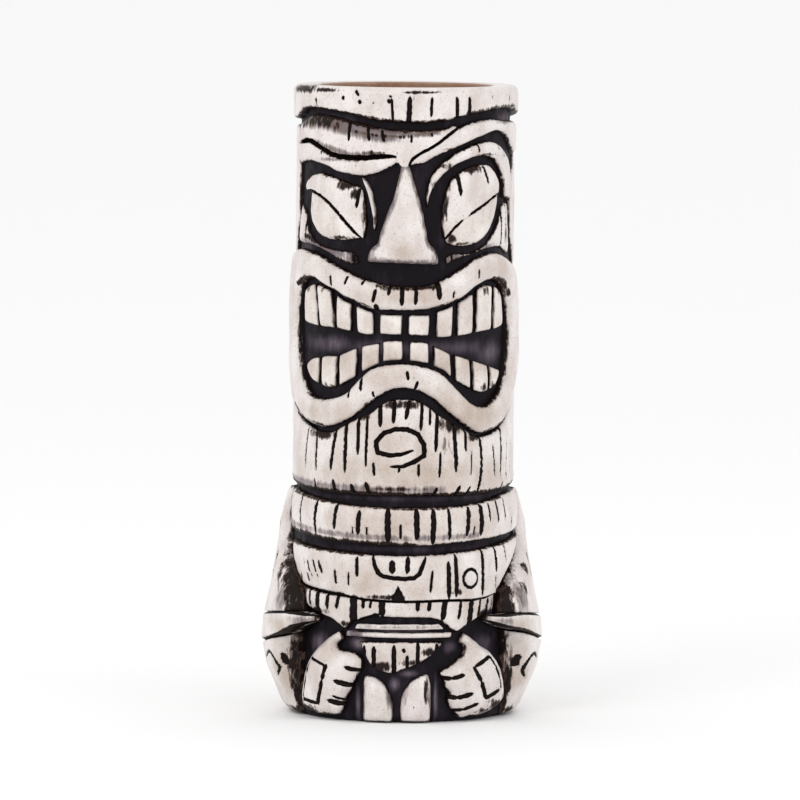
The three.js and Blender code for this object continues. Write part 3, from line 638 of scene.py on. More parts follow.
makeSprig("left_brow", {
    "first": [(-76, 183.4), (-60, 184.6), (-45, 183), (-38, 181.5), (-20, 180.6), (-7, 183.7),
        (-4.4, 184.7), (-2.2, 184.2)],
    "second": lines["brow"] + [(-6, 187.1), (-3.8, 185.8), (-2.2, 184.4)], "rise": 2.5, "joined": "sz",
    "round": 1.6,
    "cuts": [(browCut, 1.9, 2.0), ([(-49, 188.2), (-48.4, 187.4)], 0.7, 0.6)],
    "thin": [(-36, 185.8, 17, 0.8, 0.7)],
    "stains": [(-60, 184.6, 9, 0.9, 0.8), (-34, 181.2, 8, 0.6, 0.7)],
}, cream)
makeSprig("right_brow", {
    "first": [(2.6, 184), (10, 184.9), (15, 186.6), (36, 191.8), (48, 194), (54, 195), (60, 194.8),
        (66, 193.6), (72, 191.4), (78, 188.6), (90, 186.4)],
    "second": [(1.6, 184.2)] + lines["frown"] + [(34, 198), (50, 199.5), (70, 198.6), (90, 198.2)],
    "rise": 2.5, "open": [("s", -20, 29)], "round": 1.6,
    "cuts": [(frownCut, 1.1, 1.6)] + strokes([(30, 190.6, 30.4, 189.4, 0.7)]),
    "thin": [(66, 198.4, 12, 1.2, 0.8)], "stains": [(26, 189.6, 8, 0.7, 0.75)],
}, cream)
makeSprig("right_brow_ridge", {
    "first": [(12.4, 170.4), (13.6, 174.4), (17, 178.6), (26, 183.6), (42, 186.9), (50, 186.7), (56, 184.9),
        (61, 181.6), (64, 178), (66, 173)],
    "second": [(10.8, 170.6), (11, 175.6), (13.6, 180.8), (19.6, 185.2), (32, 189.8), (48, 192.2),
        (56, 191.6), (64, 189.2), (70, 185.6), (73, 181.6), (74.6, 177), (75, 172)],
    "rise": 2.4, "round": 1.4,
    "cuts": strokes([(41, 192, 41.6, 188.4, 0.9), (57, 192, 57.5, 189, 0.7),
        (62, 188.6, 62.4, 186.6, 0.6)]),
    "stains": [(22, 184, 5, 1.6, 0.75), (16, 178, 3, 2.4, 0.7), (48, 187.6, 9, 0.8, 0.7)],
}, cream)

# Eyes: a heavy lid slants over each eyeball
makeSprig("left_lid", {
    "first": lines["leftLid"] + [(-22, 160)],
    "second": [(-68.5, 176.4), (-64, 179), (-58, 180.8), (-50, 181.2), (-32, 178.4), (-23.4, 176.6),
        (-21.4, 172), (-20.4, 167), (-20.8, 161.6)],
    "rise": 2.3, "joined": "f", "round": 2.0,
    "cuts": [(lines["leftLid"] + [(-22.5, 159.4)], 1.3, 1.6)] + strokes([(-24.6, 176.6, -26, 170.2, 1.3)]),
    "stains": [(-32, 177.6, 7, 2.0, 1.0), (-27, 174.6, 4, 2.4, 0.95), (-22, 169, 2.2, 7, 0.75),
        (-44, 180.6, 8, 0.8, 0.7), (-62, 179.6, 4, 1.3, 0.7)],
}, cream)
makeSprig("left_eyeball", {
    "first": [(-62, 172.6), (-61.4, 167), (-58, 163), (-52, 160.3), (-45, 159.1), (-32, 159.1),
        (-24.5, 159.6)],
    "second": [(-61, 174.3)] + lines["leftLid"][1:-1] + [(-24, 160.4)], "rise": 2.1, "joined": "s",
    "round": 2.6, "cuts": [(lines["leftLid"] + [(-22.5, 159.4)], 1.3, 1.5)],
    "stains": [(-36, 160, 10, 1.0, 0.8), (-58, 171, 2, 4, 0.6)],
}, ivory)
makeSprig("left_eye_fold", {
    "first": [(-23.6, 179.2), (-21, 175.6), (-18.2, 169), (-17, 162.6)],
    "second": [(-24.2, 180.8), (-19.6, 178.2), (-15.6, 170), (-15.2, 166), (-16, 162.4)], "rise": 2.0,
    "edge": 0.16, "thinEdge": 0.3, "round": 0.8, "stains": [(-16, 166, 2, 2.4, 0.7)],
}, cream)
makeSprig("right_lid", {
    "first": lines["rightLid"],
    "second": [(19.8, 162), (19.4, 167), (20.2, 172), (22.5, 176.5), (26, 180), (31, 182.4), (44, 184.6),
        (50, 184.4), (55, 182.6), (59.4, 179.6), (61.6, 176.4)],
    "rise": 2.3, "joined": "f", "round": 2.0,
    "cuts": [(lines["rightLid"][:4], 1.0, 1.5), (lines["rightLid"][4:], 1.1, 1.5)]
        + strokes([(28, 182.6, 30, 174.4, 1.4), (45, 184, 48.6, 178, 1.1)]),
    "stains": [(37, 183.4, 9, 2.2, 1.0), (21, 172, 2.6, 8, 0.9), (22, 178, 3.4, 3, 0.95)],
    "thin": [(38, 182.6, 8, 1.6, 0.7)],
}, cream)
makeSprig("right_eyeball", {
    "first": [(21.8, 158.7), (26, 157.6), (40, 157.9), (50, 161.3), (57.4, 168), (60, 173.4)],
    "second": lines["rightLid"], "rise": 2.1, "joined": "s", "round": 2.6,
    "cuts": [(lines["rightLid"][:4], 1.0, 1.4), (lines["rightLid"][4:], 1.1, 1.4)],
    "stains": [(25.5, 160, 3.4, 1.8, 1.0), (33, 158.4, 8, 0.8, 0.7)],
}, ivory)


# Nose: its rise grows steadily from the bridge to the tip.
def noseRise(angle, height):
    return 2.4 + 3.9 * np.clip((184.3 - height) / (184.3 - 152.4), 0, 1)


makeSprig("nose", {
    "first": [(-20.4, 152.2), (-19.8, 155), (-18, 157.2), (-15, 158.8), (-12.6, 164), (-5.6, 176),
        (-2.8, 184.2)],
    "second": [(18.8, 151.4), (18.2, 154), (16.8, 156.2), (12.8, 159.6), (12, 162), (9.8, 169),
        (4.6, 180.4), (2.4, 184.2)],
    "rise": noseRise, "round": {"f": 2.8, "s": 2.8, "a": 2.2, "z": 1.0}, "joined": "z", "swell": 0.35,
    # The wide thin edge, the thin bands down both sides, the stain lines along the bottom and lower right
    # side, and the beige patch at the tip are painted shade on the nose's sloping sides and under its tip.
    "edge": 0.3, "thinEdge": 1.7,
    "stains": [([(-19, 152), (0, 151.4), (18, 151.4)], 0.8, 0.85), ([(17, 153), (15, 158)], 0.8, 0.7)],
    "thin": [([(-17, 157), (-10, 170), (-5, 178)], 1.3, 0.9), ([(14.6, 157), (9.4, 170),
        (5.6, 178)], 1.5, 0.9)],
    "beigePoolAndShade": [(-1, 156, 5, 3.6, 0.8), (4, 176, 3, 8, 0.35)],
}, cream)
makeSprig("left_cheek", {
    "first": [(-80, 157.4), (-56, 156.3), (-47, 154.9), (-33, 151.6), (-29, 151.2), (-25, 151.6)],
    "second": [(-74, 171), (-67, 167), (-64, 162), (-58, 158.8), (-50, 157), (-34, 155.8), (-29, 155.4),
        (-24.6, 153.4)],
    "rise": 1.6, "thin": [(-50, 156, 26, 4, 1.3), (-26, 153.6, 9, 5, 1.2)],
    "stains": [([(-28, 156), (-24, 152)], 2.6, 1.1), ([(-66, 160), (-44, 156.6), (-24, 156.4)], 1.1, 0.85),
        ([(-66, 157.4), (-40, 153.4), (-24, 150.4)], 1.0, 0.8)],
    "cuts": strokes([(-66.6, 168, -66, 157.4, 0.8), (-27.6, 155.6, -28, 151.8, 0.9),
        (-25.4, 155.8, -26, 152.4, 0.9)]),
}, cream)
makeSprig("right_cheek", {
    "first": [(22.6, 151.4), (30, 153.2), (40, 154.8), (47, 156), (60, 156.6), (75, 153.6)],
    "second": [(22, 153.6), (25, 155.2), (38, 155.4), (50, 158.8), (60, 165.2), (63.4, 170), (72, 172)],
    "rise": 1.6, "thin": [(25, 153.6, 8, 4, 1.2), (46, 157, 14, 1.6, 0.8)],
    "stains": [([(21, 156), (21, 151)], 1.8, 1.0), ([(26, 152.8), (44, 155.8)], 0.9, 0.8),
        (68, 160, 3, 5, 0.6)],
    "cuts": strokes([(63, 173, 62.6, 156, 0.9), (68.4, 172, 68, 163, 0.8), (25.6, 156, 25.8, 152, 0.8)]),
}, cream)
makeSprig("head_back", {
    "first": [(99, 79.6), (99, 110), (99, 132), (93, 147), (86, 154), (77, 159), (75, 168), (76, 174),
        (79, 181), (93, 186), (93, 198.2)],
    "second": [(261, 79.6), (261, 110), (261, 132), (267, 147), (274, 156), (280, 162), (283, 170),
        (283, 178), (283, 196.4)],
    "rise": 2.1, "step": 0.55,
    "cuts": grain(102, 258, 80, 102, 7.5, 20) + grain(104, 256, 108, 150, 11, 24, 1.0)
        + grain(96, 264, 156, 195, 9, 26, 2.0),
    "stains": [([(100, 79.6), (260, 79.6)], 1.6, 0.9), ([(94, 198), (286, 197)], 1.6, 0.9)],
    "beigePoolAndShade": [(180, 90, 70, 10, 0.7), (180, 140, 60, 16, 0.5)],
}, cream)

# Mouth: two lips that close on each other at the corners
mouth = {
    "roof": [(-75, 126), (-74, 134), (-71, 140), (-66, 144.4), (-60, 145.8), (-56, 146), (-44, 143.4),
        (-37, 141.8), (-33, 140.2), (-28, 139.3), (-18, 136.7), (-5, 136.4), (8, 136.5), (20, 137.7),
        (32, 140.6), (42, 144.4), (52, 146), (60, 144.3), (64, 141.5), (69.5, 132), (71, 126)],
    "floor": [(-75, 126.1), (-73, 121), (-63, 110.5), (-58, 107.6), (-45, 106.7), (-32, 109), (-28, 111.5),
        (-20, 116.3), (-15, 118), (0, 119.3), (15, 117.5), (20, 116), (40, 105.2), (50, 104.8), (60, 109),
        (65, 113), (69, 118), (71, 126.1)],
    "top": [(-95, 126), (-94, 140), (-88, 150), (-80, 154.6), (-72, 155.6), (-50, 153.8), (-38, 150.8),
        (-32, 149.4), (-26, 147.8), (-6, 144.8), (8, 144.8), (13, 145), (28, 149.4), (40, 153.6),
        (52, 155.2), (58, 155), (80, 149.4), (90, 141), (93, 126)],
    "bottom": [(-95, 126.1), (-93, 116), (-86, 108), (-70, 100.6), (-50, 97), (-42, 97.3), (-30, 100),
        (-25, 102), (-15, 107), (-5, 110.4), (5, 110.3), (15, 107.3), (25, 102), (40, 96), (45, 95.3),
        (55, 96.3), (60, 97.4), (70, 102), (80, 109), (91, 117), (93, 126.1)],
}
makeSprig("upper_lip", {
    "first": mouth["roof"], "second": mouth["top"], "rise": 3.8, "joined": "az", "round": 2.0,
    "cuts": strokes([(-40, 147.6, -40, 144, 0.9), (-30, 147.6, -31.5, 144.8, 0.9),
        (-20.5, 147.6, -22, 144.9, 0.9), (-14.5, 143.5, -16, 139.2, 1.2), (-7, 146.4, -8, 141.7, 1.1),
        (-1, 145.4, -1.3, 138.4, 1.5), (6, 145, 5.5, 138.7, 1.3), (16.8, 148.4, 17.8, 140.4, 1.8),
        (25.5, 143, 25.3, 140.7, 0.8), (40.4, 150, 40.4, 147, 0.8), (-52.4, 145.6, -52.2, 144.6, 1.4),
        (-38.6, 143, -38.6, 142, 1.6), (-14.4, 138.6, -14.4, 136.6, 1.8), (-27.2, 140, -27.2, 139, 1.4),
        (27.4, 140, 27.4, 138.8, 1.6), (39, 144, 39, 143, 1.2)]),
    # The stain line along the middle of the top edge, under the nose, is wash and painted shadow of the
    # nose; the beige patch below it is painted shade and glaze pooling.
    "stains": [([(-13, 145), (0, 144.2), (16, 144.8)], 1.5, 0.85), ([(-70, 144), (-62, 146.4),
        (-52, 146)], 1.0, 0.9), ([(52, 146.6), (60, 145.6), (67, 141)], 1.1, 0.9), ([(-44, 144),
        (-28, 139.8), (-14, 137.2)], 0.6, 0.7), ([(14, 137.4), (32, 140.8), (48, 146)], 0.6, 0.7)],
    "beigePoolAndShade": [(2, 142, 26, 5, 1.0), (-60, 150, 14, 4, 0.4), (60, 150, 14, 4, 0.4)],
}, cream)
makeSprig("lower_lip", {
    "first": mouth["bottom"], "second": mouth["floor"], "rise": 3.8, "joined": "az", "round": 2.0,
    "cuts": strokes([(-22, 114.4, -22, 109.8, 1.1), (-29, 110.2, -29, 107.3, 0.9),
        (-15.8, 109.8, -15.3, 108, 0.8), (1.6, 116.7, 2.2, 113.8, 1.0), (7, 113.4, 5.4, 110.1, 1.0),
        (-54.4, 107.6, -54.8, 105.8, 0.5), (-46, 107.2, -46.6, 105.2, 0.5)]),
    "stains": [([(-20, 105), (-6, 110), (8, 110), (24, 102.6)], 0.8, 0.7), ([(-72, 104), (-60, 99.4),
        (-46, 97.8)], 0.9, 0.7), ([(46, 96), (60, 98.4), (72, 104)], 0.9, 0.7)],
    "beigePoolAndShade": [(30, 103, 34, 8, 1.0), (-48, 102, 20, 4, 0.6), (-10, 114, 20, 4, 0.55)],
}, cream)

teeth = {
    "upperStain": (142.6, 3, 1.8, 0.6), "upperPoolAndShade": (131, 5, 3, 0.3),
    "lowerStain": (110.6, 5, 1.8, 0.6), "lowerPoolAndShade": (119, 6, 6, 0.8),
    "upper": [(-66.3, -55.5, -65.7, -52.8), (-53.7, -42.3, -50.4, -40.8), (-38.4, -29.5, -38.4, -29.7),
        (-26.2, -16.7, -25.3, -16.5), (-12.7, -1.3, -12.7, -1.5), (2.3, 13.4, 2.4, 12.9),
        (17.6, 26.4, 17.6, 25.9), (30.0, 38.9, 29.5, 38.9), (42.1, 53.3, 42.1, 52.8),
        (56.1, 62.8, 55.5, 64.5)],
    "lower": [(-63.4, -51.7, -60.8, -52.3), (-49.0, -38.9, -49.0, -38.9), (-36.3, -26.1, -36.3, -26.4),
        (-22.7, -13.4, -22.7, -13.4), (-11.0, -0.8, -11.0, -1.0), (3.1, 12.9, 3.1, 12.9),
        (16.0, 24.8, 16.5, 25.9), (27.9, 36.8, 29.0, 37.9), (39.5, 50.1, 40.5, 50.6),
        (52.3, 61.7, 52.8, 58.6)],
    "upperTop": [(-67, 141.8), (-62, 143.6), (-56, 144.6), (-50, 143.8), (-42, 142.4), (-38, 141.2),
        (-33, 139.3), (-28, 138.4), (-24, 137.4), (-16.6, 136), (-12.6, 135.4), (0, 135.2), (13, 135.2),
        (17.6, 136.4), (24, 137.6), (32, 139.8), (38, 141.8), (42, 143.4), (50, 144.9), (57, 144.2),
        (60, 142.8), (65, 140)],
    "upperLow": [(-66, 131.2), (-55, 130.2), (-40, 130), (-30, 129.2), (-20, 128.2), (-12, 128.5),
        (0, 128.3), (8, 128.2), (14, 127.8), (20, 127.4), (33, 128), (45, 129), (57, 129.5), (65, 130.5)],
    "lowerTop": [(-64, 117.4), (-58, 119.6), (-50, 120.4), (-44, 121), (-38, 121), (-36, 121.8), (-30, 123),
        (-26, 124), (-22, 125), (-14, 125.6), (-11, 126.6), (0, 126.8), (3, 126.4), (13, 126.2),
        (16, 124.9), (25, 122.4), (28, 122), (37, 120.2), (40, 119.8), (50, 118), (53, 117.6), (62, 116)],
    "lowerLow": [(-64, 115), (-58, 112.4), (-52, 111), (-45, 110), (-38, 110.6), (-34, 111.8), (-28, 113.6),
        (-22, 116.2), (-14, 118.4), (-10.5, 119.8), (0, 120), (5, 119.6), (12, 119.2), (17, 117.8),
        (22, 116.4), (27, 113.6), (32, 112), (38, 110), (44, 108.8), (50, 109), (55, 110), (62, 113)],
}


# Tooth: its corners lie on the row's two lines at its own top and bottom splits, widened by its worn border.
def makeTeeth(row):
    for i, corners in enumerate(teeth[row]):
        topLeft, topRight, lowLeft, lowRight = np.array(corners) + [-0.5, 0.5, -0.5, 0.5]
        lowPlaces = [lowLeft, (lowLeft + lowRight) / 2, lowRight]
        topPlaces = [topLeft, (topLeft + topRight) / 2, topRight]
        makeSprig(f"{row}_tooth_{i + 1}", {
            "first": [(a, np.interp(a, *zip(*teeth[row + "Low"]))) for a in lowPlaces],
            "second": [(a, np.interp(a, *zip(*teeth[row + "Top"]))) for a in topPlaces],
            "rise": 2.4, "round": 1.0, "edge": 0.2, "thinEdge": 0.4, "swell": 0.3, "step": 0.3,
            "stains": [((lowPlaces if row == "lower" else topPlaces)[1], *teeth[row + "Stain"])],
            "beigePoolAndShade": [((lowPlaces if row == "lower" else topPlaces)[1], *teeth[row + "PoolAndShade"])],
        }, ivory)


makeTeeth("upper")
makeTeeth("lower")

# Chin and the bands of the body
makeSprig("chin", {
    "first": [(-96, 79), (-85, 77.2), (-22, 75.2), (0, 75.3), (41, 75.1), (60, 75.8), (75, 76.2),
        (96, 78.6)],
    "second": [(-96, 112.6), (-88, 107.4), (-80, 103.4), (-75, 100.8), (-58, 97), (-50, 95.7), (-40, 96.2),
        (-32, 98.8), (-25, 100.9), (-18, 102.8), (-12, 105.6), (-6, 107.2), (6, 107.2), (12, 105.6),
        (18, 102.8), (24, 100.4), (30, 98.6), (42, 94.9), (48, 94.8), (60, 96.6), (72, 101.5), (80, 107.6),
        (94, 113)],
    "rise": 2.6, "round": 1.6,
    "cuts": strokes([(-59.3, 96.6, -61.6, 82.8, 0.9), (-51.2, 95.4, -51.6, 82.4, 1.1),
        (-37.2, 98, -40.6, 83.2, 1.4), (-31, 100, -31.5, 82.6, 1.4), (-23.8, 102.4, -24, 88.8, 1.3),
        (-19, 102, -19.5, 84.8, 1.0), (-12.2, 106.6, -12, 98.2, 1.5), (-4.6, 107, -5.2, 99.4, 1.4),
        (3, 107, 1.2, 100.8, 1.4), (9.8, 106.6, 9, 97.1, 1.2), (14, 104.2, 13.7, 98.8, 0.9),
        (17.9, 104, 16.8, 90, 1.3), (19.4, 89.8, 19, 81.4, 0.9), (27, 100, 28.4, 83.2, 1.5),
        (33.8, 98.4, 34.4, 89.8, 1.2), (38, 89.8, 37.6, 81.8, 0.6), (54, 91.4, 55.6, 80.8, 0.9),
        (61.8, 98.6, 61.2, 80.8, 1.1), (67.8, 92.6, 68, 79, 0.6), (-15.4, 86.2, -15, 81.8, 1.0),
        (8, 86, 8, 81.8, 0.9), (-52.6, 79.8, -51, 76.6, 0.9), (-39.2, 80, -37, 76.2, 1.3),
        (-27.8, 78.8, -25.4, 75.8, 1.3), (-19.6, 79.6, -17.4, 75.8, 1.4), (18, 78, 15.2, 75.4, 1.1),
        (30.8, 78.4, 27.2, 75.2, 1.3), (37.2, 78.2, 33.8, 75.4, 0.8), (63.6, 78.8, 60.8, 76.2, 0.8),
        (74, 92, 74, 82, 0.6)]) + [([(43.6, 95.8), (44.6, 89), (44.4, 82), (41.4, 75.6)], 1.3, 1.1),
        ([(5, 90.5), (0, 89.3), (-10, 88.9), (-14, 90.2), (-14.9, 92.2), (-12.6, 94.2), (-9, 96.6),
        (-5, 97.4), (6, 96.8), (9, 93.7), (11.6, 91), (11.4, 89.2), (-2, 84.8), (-6.4, 85)], 1.6, 1.2),
        ([(-1.8, 84.6), (-2.3, 83.2)], 0.9, 0.9)],
    "stains": [(-47, 94.8, 9, 2.0, 1.1), (27, 98.6, 10, 3.2, 1.05), (40, 94.6, 6, 1.8, 1.1),
        (-22, 101.4, 7, 1.5, 0.9), (0, 105.6, 14, 1.8, 0.9), (52, 95.2, 6, 0.7, 0.7), ([(-94, 79),
        (-60, 76.4), (-20, 75.8), (0, 75.8)], 1.2, 1.05), ([(0, 75.8), (26, 75.6), (60, 76.2),
        (94, 78.6)], 1.0, 0.95), (-4, 77.6, 18, 1.0, 0.8), (22, 92, 6, 4, 0.5)],
    "thin": [(28, 98, 9, 3.4, 0.8), ([(-90, 79), (-50, 77.6), (20, 77)], 1.8, 0.8)],
    "beigePoolAndShade": [(0, 82, 60, 7, 0.95), (0, 94, 34, 12, 0.6), (30, 92, 20, 10, 0.4)],
}, cream)
makeSprig("shoulder_band", {
    "first": [(-76, 61.6), (-60, 60.4), (10, 58.7), (30, 59.4), (60, 60.4), (86, 61.8)],
    "second": [(-80, 75.8), (-55, 74.2), (-25, 72.1), (30, 72.1), (50, 73.3), (60, 74.4), (85, 75.8)],
    "rise": 2.7, "round": 1.4,
    "cuts": strokes([(-62, 74.6, -61.5, 62, 0.9), (-48.5, 73, -49, 61.6, 1.3), (-35, 72.2, -36, 63.8, 1.3),
        (-22, 70.2, -22.6, 62.6, 1.6), (-25.4, 65, -25.4, 62.6, 0.6), (-18, 65, -18, 62.4, 0.7),
        (-7.4, 71.2, -7.2, 60.2, 2.0), (-1, 66.2, -1, 61.2, 0.9), (6.8, 71.2, 7, 61.2, 1.8),
        (15.4, 71, 15.2, 59.6, 1.8), (23.4, 71.2, 24, 60.8, 1.2), (34.8, 71.4, 33.6, 62, 1.6),
        (42.4, 72, 42.6, 62, 1.9), (38, 65, 38, 62, 0.7), (48.4, 72.4, 48.6, 66.4, 1.0),
        (54.6, 73.2, 55.2, 65.8, 1.0), (61.6, 73.6, 61.8, 66, 0.9), (70, 67, 70, 62, 0.7)]),
    "stains": [([(-79, 75), (-75, 63)], 1.8, 1.1), ([(-76, 61.8), (-50, 60.4)], 1.9, 1.0), ([(-50, 60.4),
        (-20, 59.4), (6, 59)], 1.3, 0.95), ([(16, 59), (50, 60.2), (80, 61.4)], 0.9, 0.85), ([(-74, 74.8),
        (-45, 72.9), (-10, 71.3), (20, 71.3), (60, 74)], 0.7, 0.85)],
    "thin": [([(-76, 64.4), (-40, 62.4), (0, 61.4), (40, 62)], 1.3, 0.7)],
    "beigePoolAndShade": [(-8, 66, 30, 8, 0.95), (30, 66, 24, 8, 0.5)],
}, cream)
collarCut = [(-62, 44.6)] + lines["collar"]
makeSprig("chest_band", {
    "first": [(-66, 46.4), (-60, 44.2)] + lines["collar"] + [(58, 43.8), (64, 47), (72, 51.2), (80, 55.6),
        (86, 59)],
    "second": [(-76, 58.6), (-60, 57.7), (0, 56), (30, 56.8), (60, 58.6), (86, 60)], "rise": 3.2,
    "round": 1.7, "open": [("f", -30, 54)],
    "cuts": [(collarCut, 1.0, 1.2)] + strokes([(-57.6, 53, -56.6, 51, 0.6), (-54.6, 52.8, -51.6, 48.8, 0.9),
        (-49.6, 53, -47.2, 49.1, 1.0), (-45.6, 53, -42.8, 48.8, 1.0), (-54.4, 48.4, -52.8, 45.6, 0.9),
        (-50.8, 48.4, -50.2, 47.4, 0.5), (-46.4, 48.4, -45.8, 47.4, 0.5), (-34.9, 50.4, -34.3, 45.8, 1.0),
        (-27, 49.8, -27, 45.4, 0.7), (-22.9, 55, -22.5, 48.6, 1.2), (-5, 54, -4.8, 50, 2.0),
        (2.9, 55.4, 2.3, 50, 1.5), (14.8, 50.6, 13.8, 43.6, 0.9), (23, 53.6, 23.3, 41.6, 1.5),
        (27, 56, 27.3, 42, 1.4), (43, 57.2, 43, 42, 1.3), (52.4, 57.8, 53, 49.2, 1.1),
        (60.6, 58, 62, 52, 0.8), (52.4, 48, 52.6, 44, 0.7)]) + [([(-1.9, 45.6), (-1.9, 40.2)],
        (0.4, 5.6), 1.5)] + [([(-14.8, 55.6), (-12.4, 50.6), (-10, 49.1), (4.6, 48.3), (7.4, 49.1),
        (11.6, 55.2)], 1.5, 1.2), ([(35.3 + 4.3 * math.cos(t), 47.8 + 3.1 * math.sin(t))
        for t in np.linspace(0, 2 * math.pi, 9)], 1.1, 1.0), ([(85, 59.4), (79, 56.4), (71, 52), (64, 48.2),
        (58, 45)], 1.7, 1.5)],
    "stains": [([(-75, 56), (-66, 47)], 2.0, 1.15), (-62, 46, 4, 3, 0.8), (27, 43.4, 5, 1.2, 0.8),
        ([(-74, 58.2), (-44, 56.8), (-20, 56)], 0.9, 0.95), ([(-20, 56), (10, 56), (40, 57.2),
        (70, 58.8)], 0.6, 0.8), (-8, 42, 14, 1.0, 0.8), ([(-58, 44), (-40, 42.8), (-20, 41.6)], 0.7, 0.75)],
    "beigePoolAndShade": [(-20, 47, 26, 6, 0.7), (10, 44, 30, 3, 0.5)],
}, cream)
makeSprig("skirt", {
    "first": [(-58, 37.3), (-50.2, 35.4), (-38.2, 33.5), (-29.6, 30.7), (-27.3, 32.5), (-12, 35), (0, 34.8),
        (13.3, 34.7), (20, 33.7), (29, 29.8), (33.6, 31.5), (47.8, 35.4), (54, 36.3)],
    "second": [(a, z - 0.2) for a, z in collarCut], "rise": 2.4, "open": [("s", -30, 60)], "round": 1.2,
    "cuts": [(collarCut, 1.0, 1.0)] + strokes([(-60, 43, -59, 37.3, 1.0), (-54, 43, -53.4, 37.3, 1.2),
        (-48, 43, -46.6, 34.6, 2.0), (-40.6, 43, -40.6, 37, 1.5), (-33.6, 42.6, -34.8, 37.3, 1.3),
        (-24.6, 42.6, -25.1, 31.6, 2.8), (-19.4, 41.6, -19.7, 38, 1.2), (-15.5, 41.1, -16.1, 38.1, 0.9),
        (-10, 41.1, -10, 35.6, 2.2), (-20.5, 41, -9, 40.8, 1.0), (7.8, 40.6, 7.8, 37.4, 1.4),
        (13.9, 40.6, 13.3, 37.4, 1.3), (21.7, 41.5, 20.8, 34.3, 1.9), (30.7, 40.5, 29.4, 34.3, 1.1),
        (37.1, 40.8, 35.9, 31.6, 2.1), (42.7, 40.4, 41.8, 34.1, 1.1), (48.4, 40.9, 46.8, 33.6, 1.2),
        (52.1, 40.9, 50.6, 33.4, 0.9), (-22.6, 33.6, -11.6, 36, 1.8), (-18, 34.2, -11.6, 35, 2.2)]),
    "stains": [(-50, 36, 10, 1.6, 1.0), (-30, 32.6, 6, 1.2, 0.8), (46, 35.6, 8, 1.6, 0.9),
        (-60, 41, 5, 4, 0.9)],
    "beigePoolAndShade": [(0, 38, 60, 5, 0.45)],
}, cream)
makeSprig("belt_upper", {
    "first": [(-25, 30.9), (0, 30.9), (22.6, 31)], "second": [(-23.8, 32.8), (0, 33), (19.4, 33)],
    "rise": 2.0, "round": 0.4, "edge": 0.08, "thinEdge": 0.1, "step": 0.22,
    "thin": [([(-24, 32), (20, 32)], 0.6, 0.5)],
}, cream)
makeSprig("belt_lower", {
    "first": [(-29.8, 28.4), (0, 28.2), (25.6, 28.2)], "second": [(-29.2, 30.3), (0, 30.1), (26.6, 30.1)],
    "rise": 2.0, "round": 0.4, "edge": 0.08, "thinEdge": 0.1, "step": 0.22,
    "thin": [(-24, 29.4, 6, 1.4, 1.1)],
}, cream)
makeSprig("loincloth", {
    "first": [(-18.4, 20.4), (-15.4, 18.4), (-4.5, 16.2), (0, 17.4), (11.3, 20.4), (21.5, 25.5)],
    "second": [(-23, 26.8), (-17, 27.1), (15, 27.2), (22.6, 27)], "rise": 1.9, "round": 1.2,
    "cuts": strokes([(-19.5, 25.5, -19.5, 18.4, 1.4), (-14.3, 25.3, -14.3, 18.5, 1.6),
        (-3.9, 25.8, -3.9, 15, 1.6), (2.8, 22.5, 2.8, 18, 1.2), (8.2, 27, 8.2, 18.6, 1.4),
        (18.1, 26.4, 18.1, 20.5, 1.4), (0.6, 24.8, 1.6, 23.6, 1.2)]),
    "stains": [(-12, 18.6, 9, 2.2, 1.0), (6, 20, 9, 1.4, 0.8), (14, 23.6, 5, 1.6, 0.9)],
    "beigePoolAndShade": [(0, 22, 20, 5, 0.5)],
}, cream)

# Arms, cuffs, thighs, hands and feet
reach = [(0, headRadius + 4.2), (8, elbowReach - 4.8), (16, elbowReach - 1.5), (24, elbowReach),
         (34, elbowReach - 0.9), (44, elbowReach - 2.9), (52, elbowReach - 4.3), (64, elbowReach - 5.5),
         (72, shoulderReach + 1.1), (78, shoulderReach)]


def armRise(angle, height):
    return np.interp(height, *zip(*reach)) - wallRadius(height)


def cuffRise(angle, height):
    return armRise(angle, height) + 0.3


limbs = {
    "armFront": [(56, 34.9), (57, 39), (60, 43.6), (81, 55.4), (87, 59.4), (88, 67), (86, 76)],
    "armBack": [(117, 32.4), (120, 52), (119, 60), (114, 68), (106, 75)],
    "leftCuffLow": [(-46, 32.8), (-51, 31.6), (-56, 30), (-62, 28), (-70, 26.2), (-80, 24.6), (-90, 23.4),
        (-104, 22.8), (-117, 22.8)],
    "leftCuffHigh": [(-46, 34.4), (-51, 35.2), (-56, 35.4), (-91, 32.6), (-104, 32.2), (-117, 32.4)],
    "rightCuffLow": [(45, 33.6), (50, 31.6), (56, 30.6), (63, 29.6), (72, 27.6), (82, 25.8), (92, 24.4),
        (104, 23.4), (117, 22.8)],
    "rightCuffHigh": [(45, 35), (60, 35.2), (91, 32.6), (104, 32.2), (117, 32.4)],
    "leftBrush": [([(-57, 36), (-59, 42), (-66, 47)], 3.4, 1.1), ([(-66, 47), (-84, 58)], 1.8, 1.05),
        ([(-76, 52), (-70, 42)], 1.4, 0.7)],
    "rightBrush": [([(57, 36), (58, 41), (60, 43)], 2.2, 1.1), (77, 49, 3, 2.6, 0.9), (69, 43, 3, 3, 0.8)],
    "armRound": {"f": 5, "s": 7, "a": 1, "z": 1.4}, "cuffRound": {"f": 1, "s": 1, "a": 5, "z": 7},
    "thighRound": {"f": 3, "s": 1, "a": 6, "z": 7},
    "armStrokes": [[(94, 48), (84, 46)], [(95, 64), (94, 58)], [(104, 60), (104, 48)],
        [(110, 56), (111, 42)], [(98, 42), (98, 38)]],
    "thighStrokes": [[(84, 18.2), (74, 21.1), (73, 21), (68.4, 16.3), (68.6, 15.6), (72, 12.8)],
        [(66.4, 21), (65.8, 17)]],
}


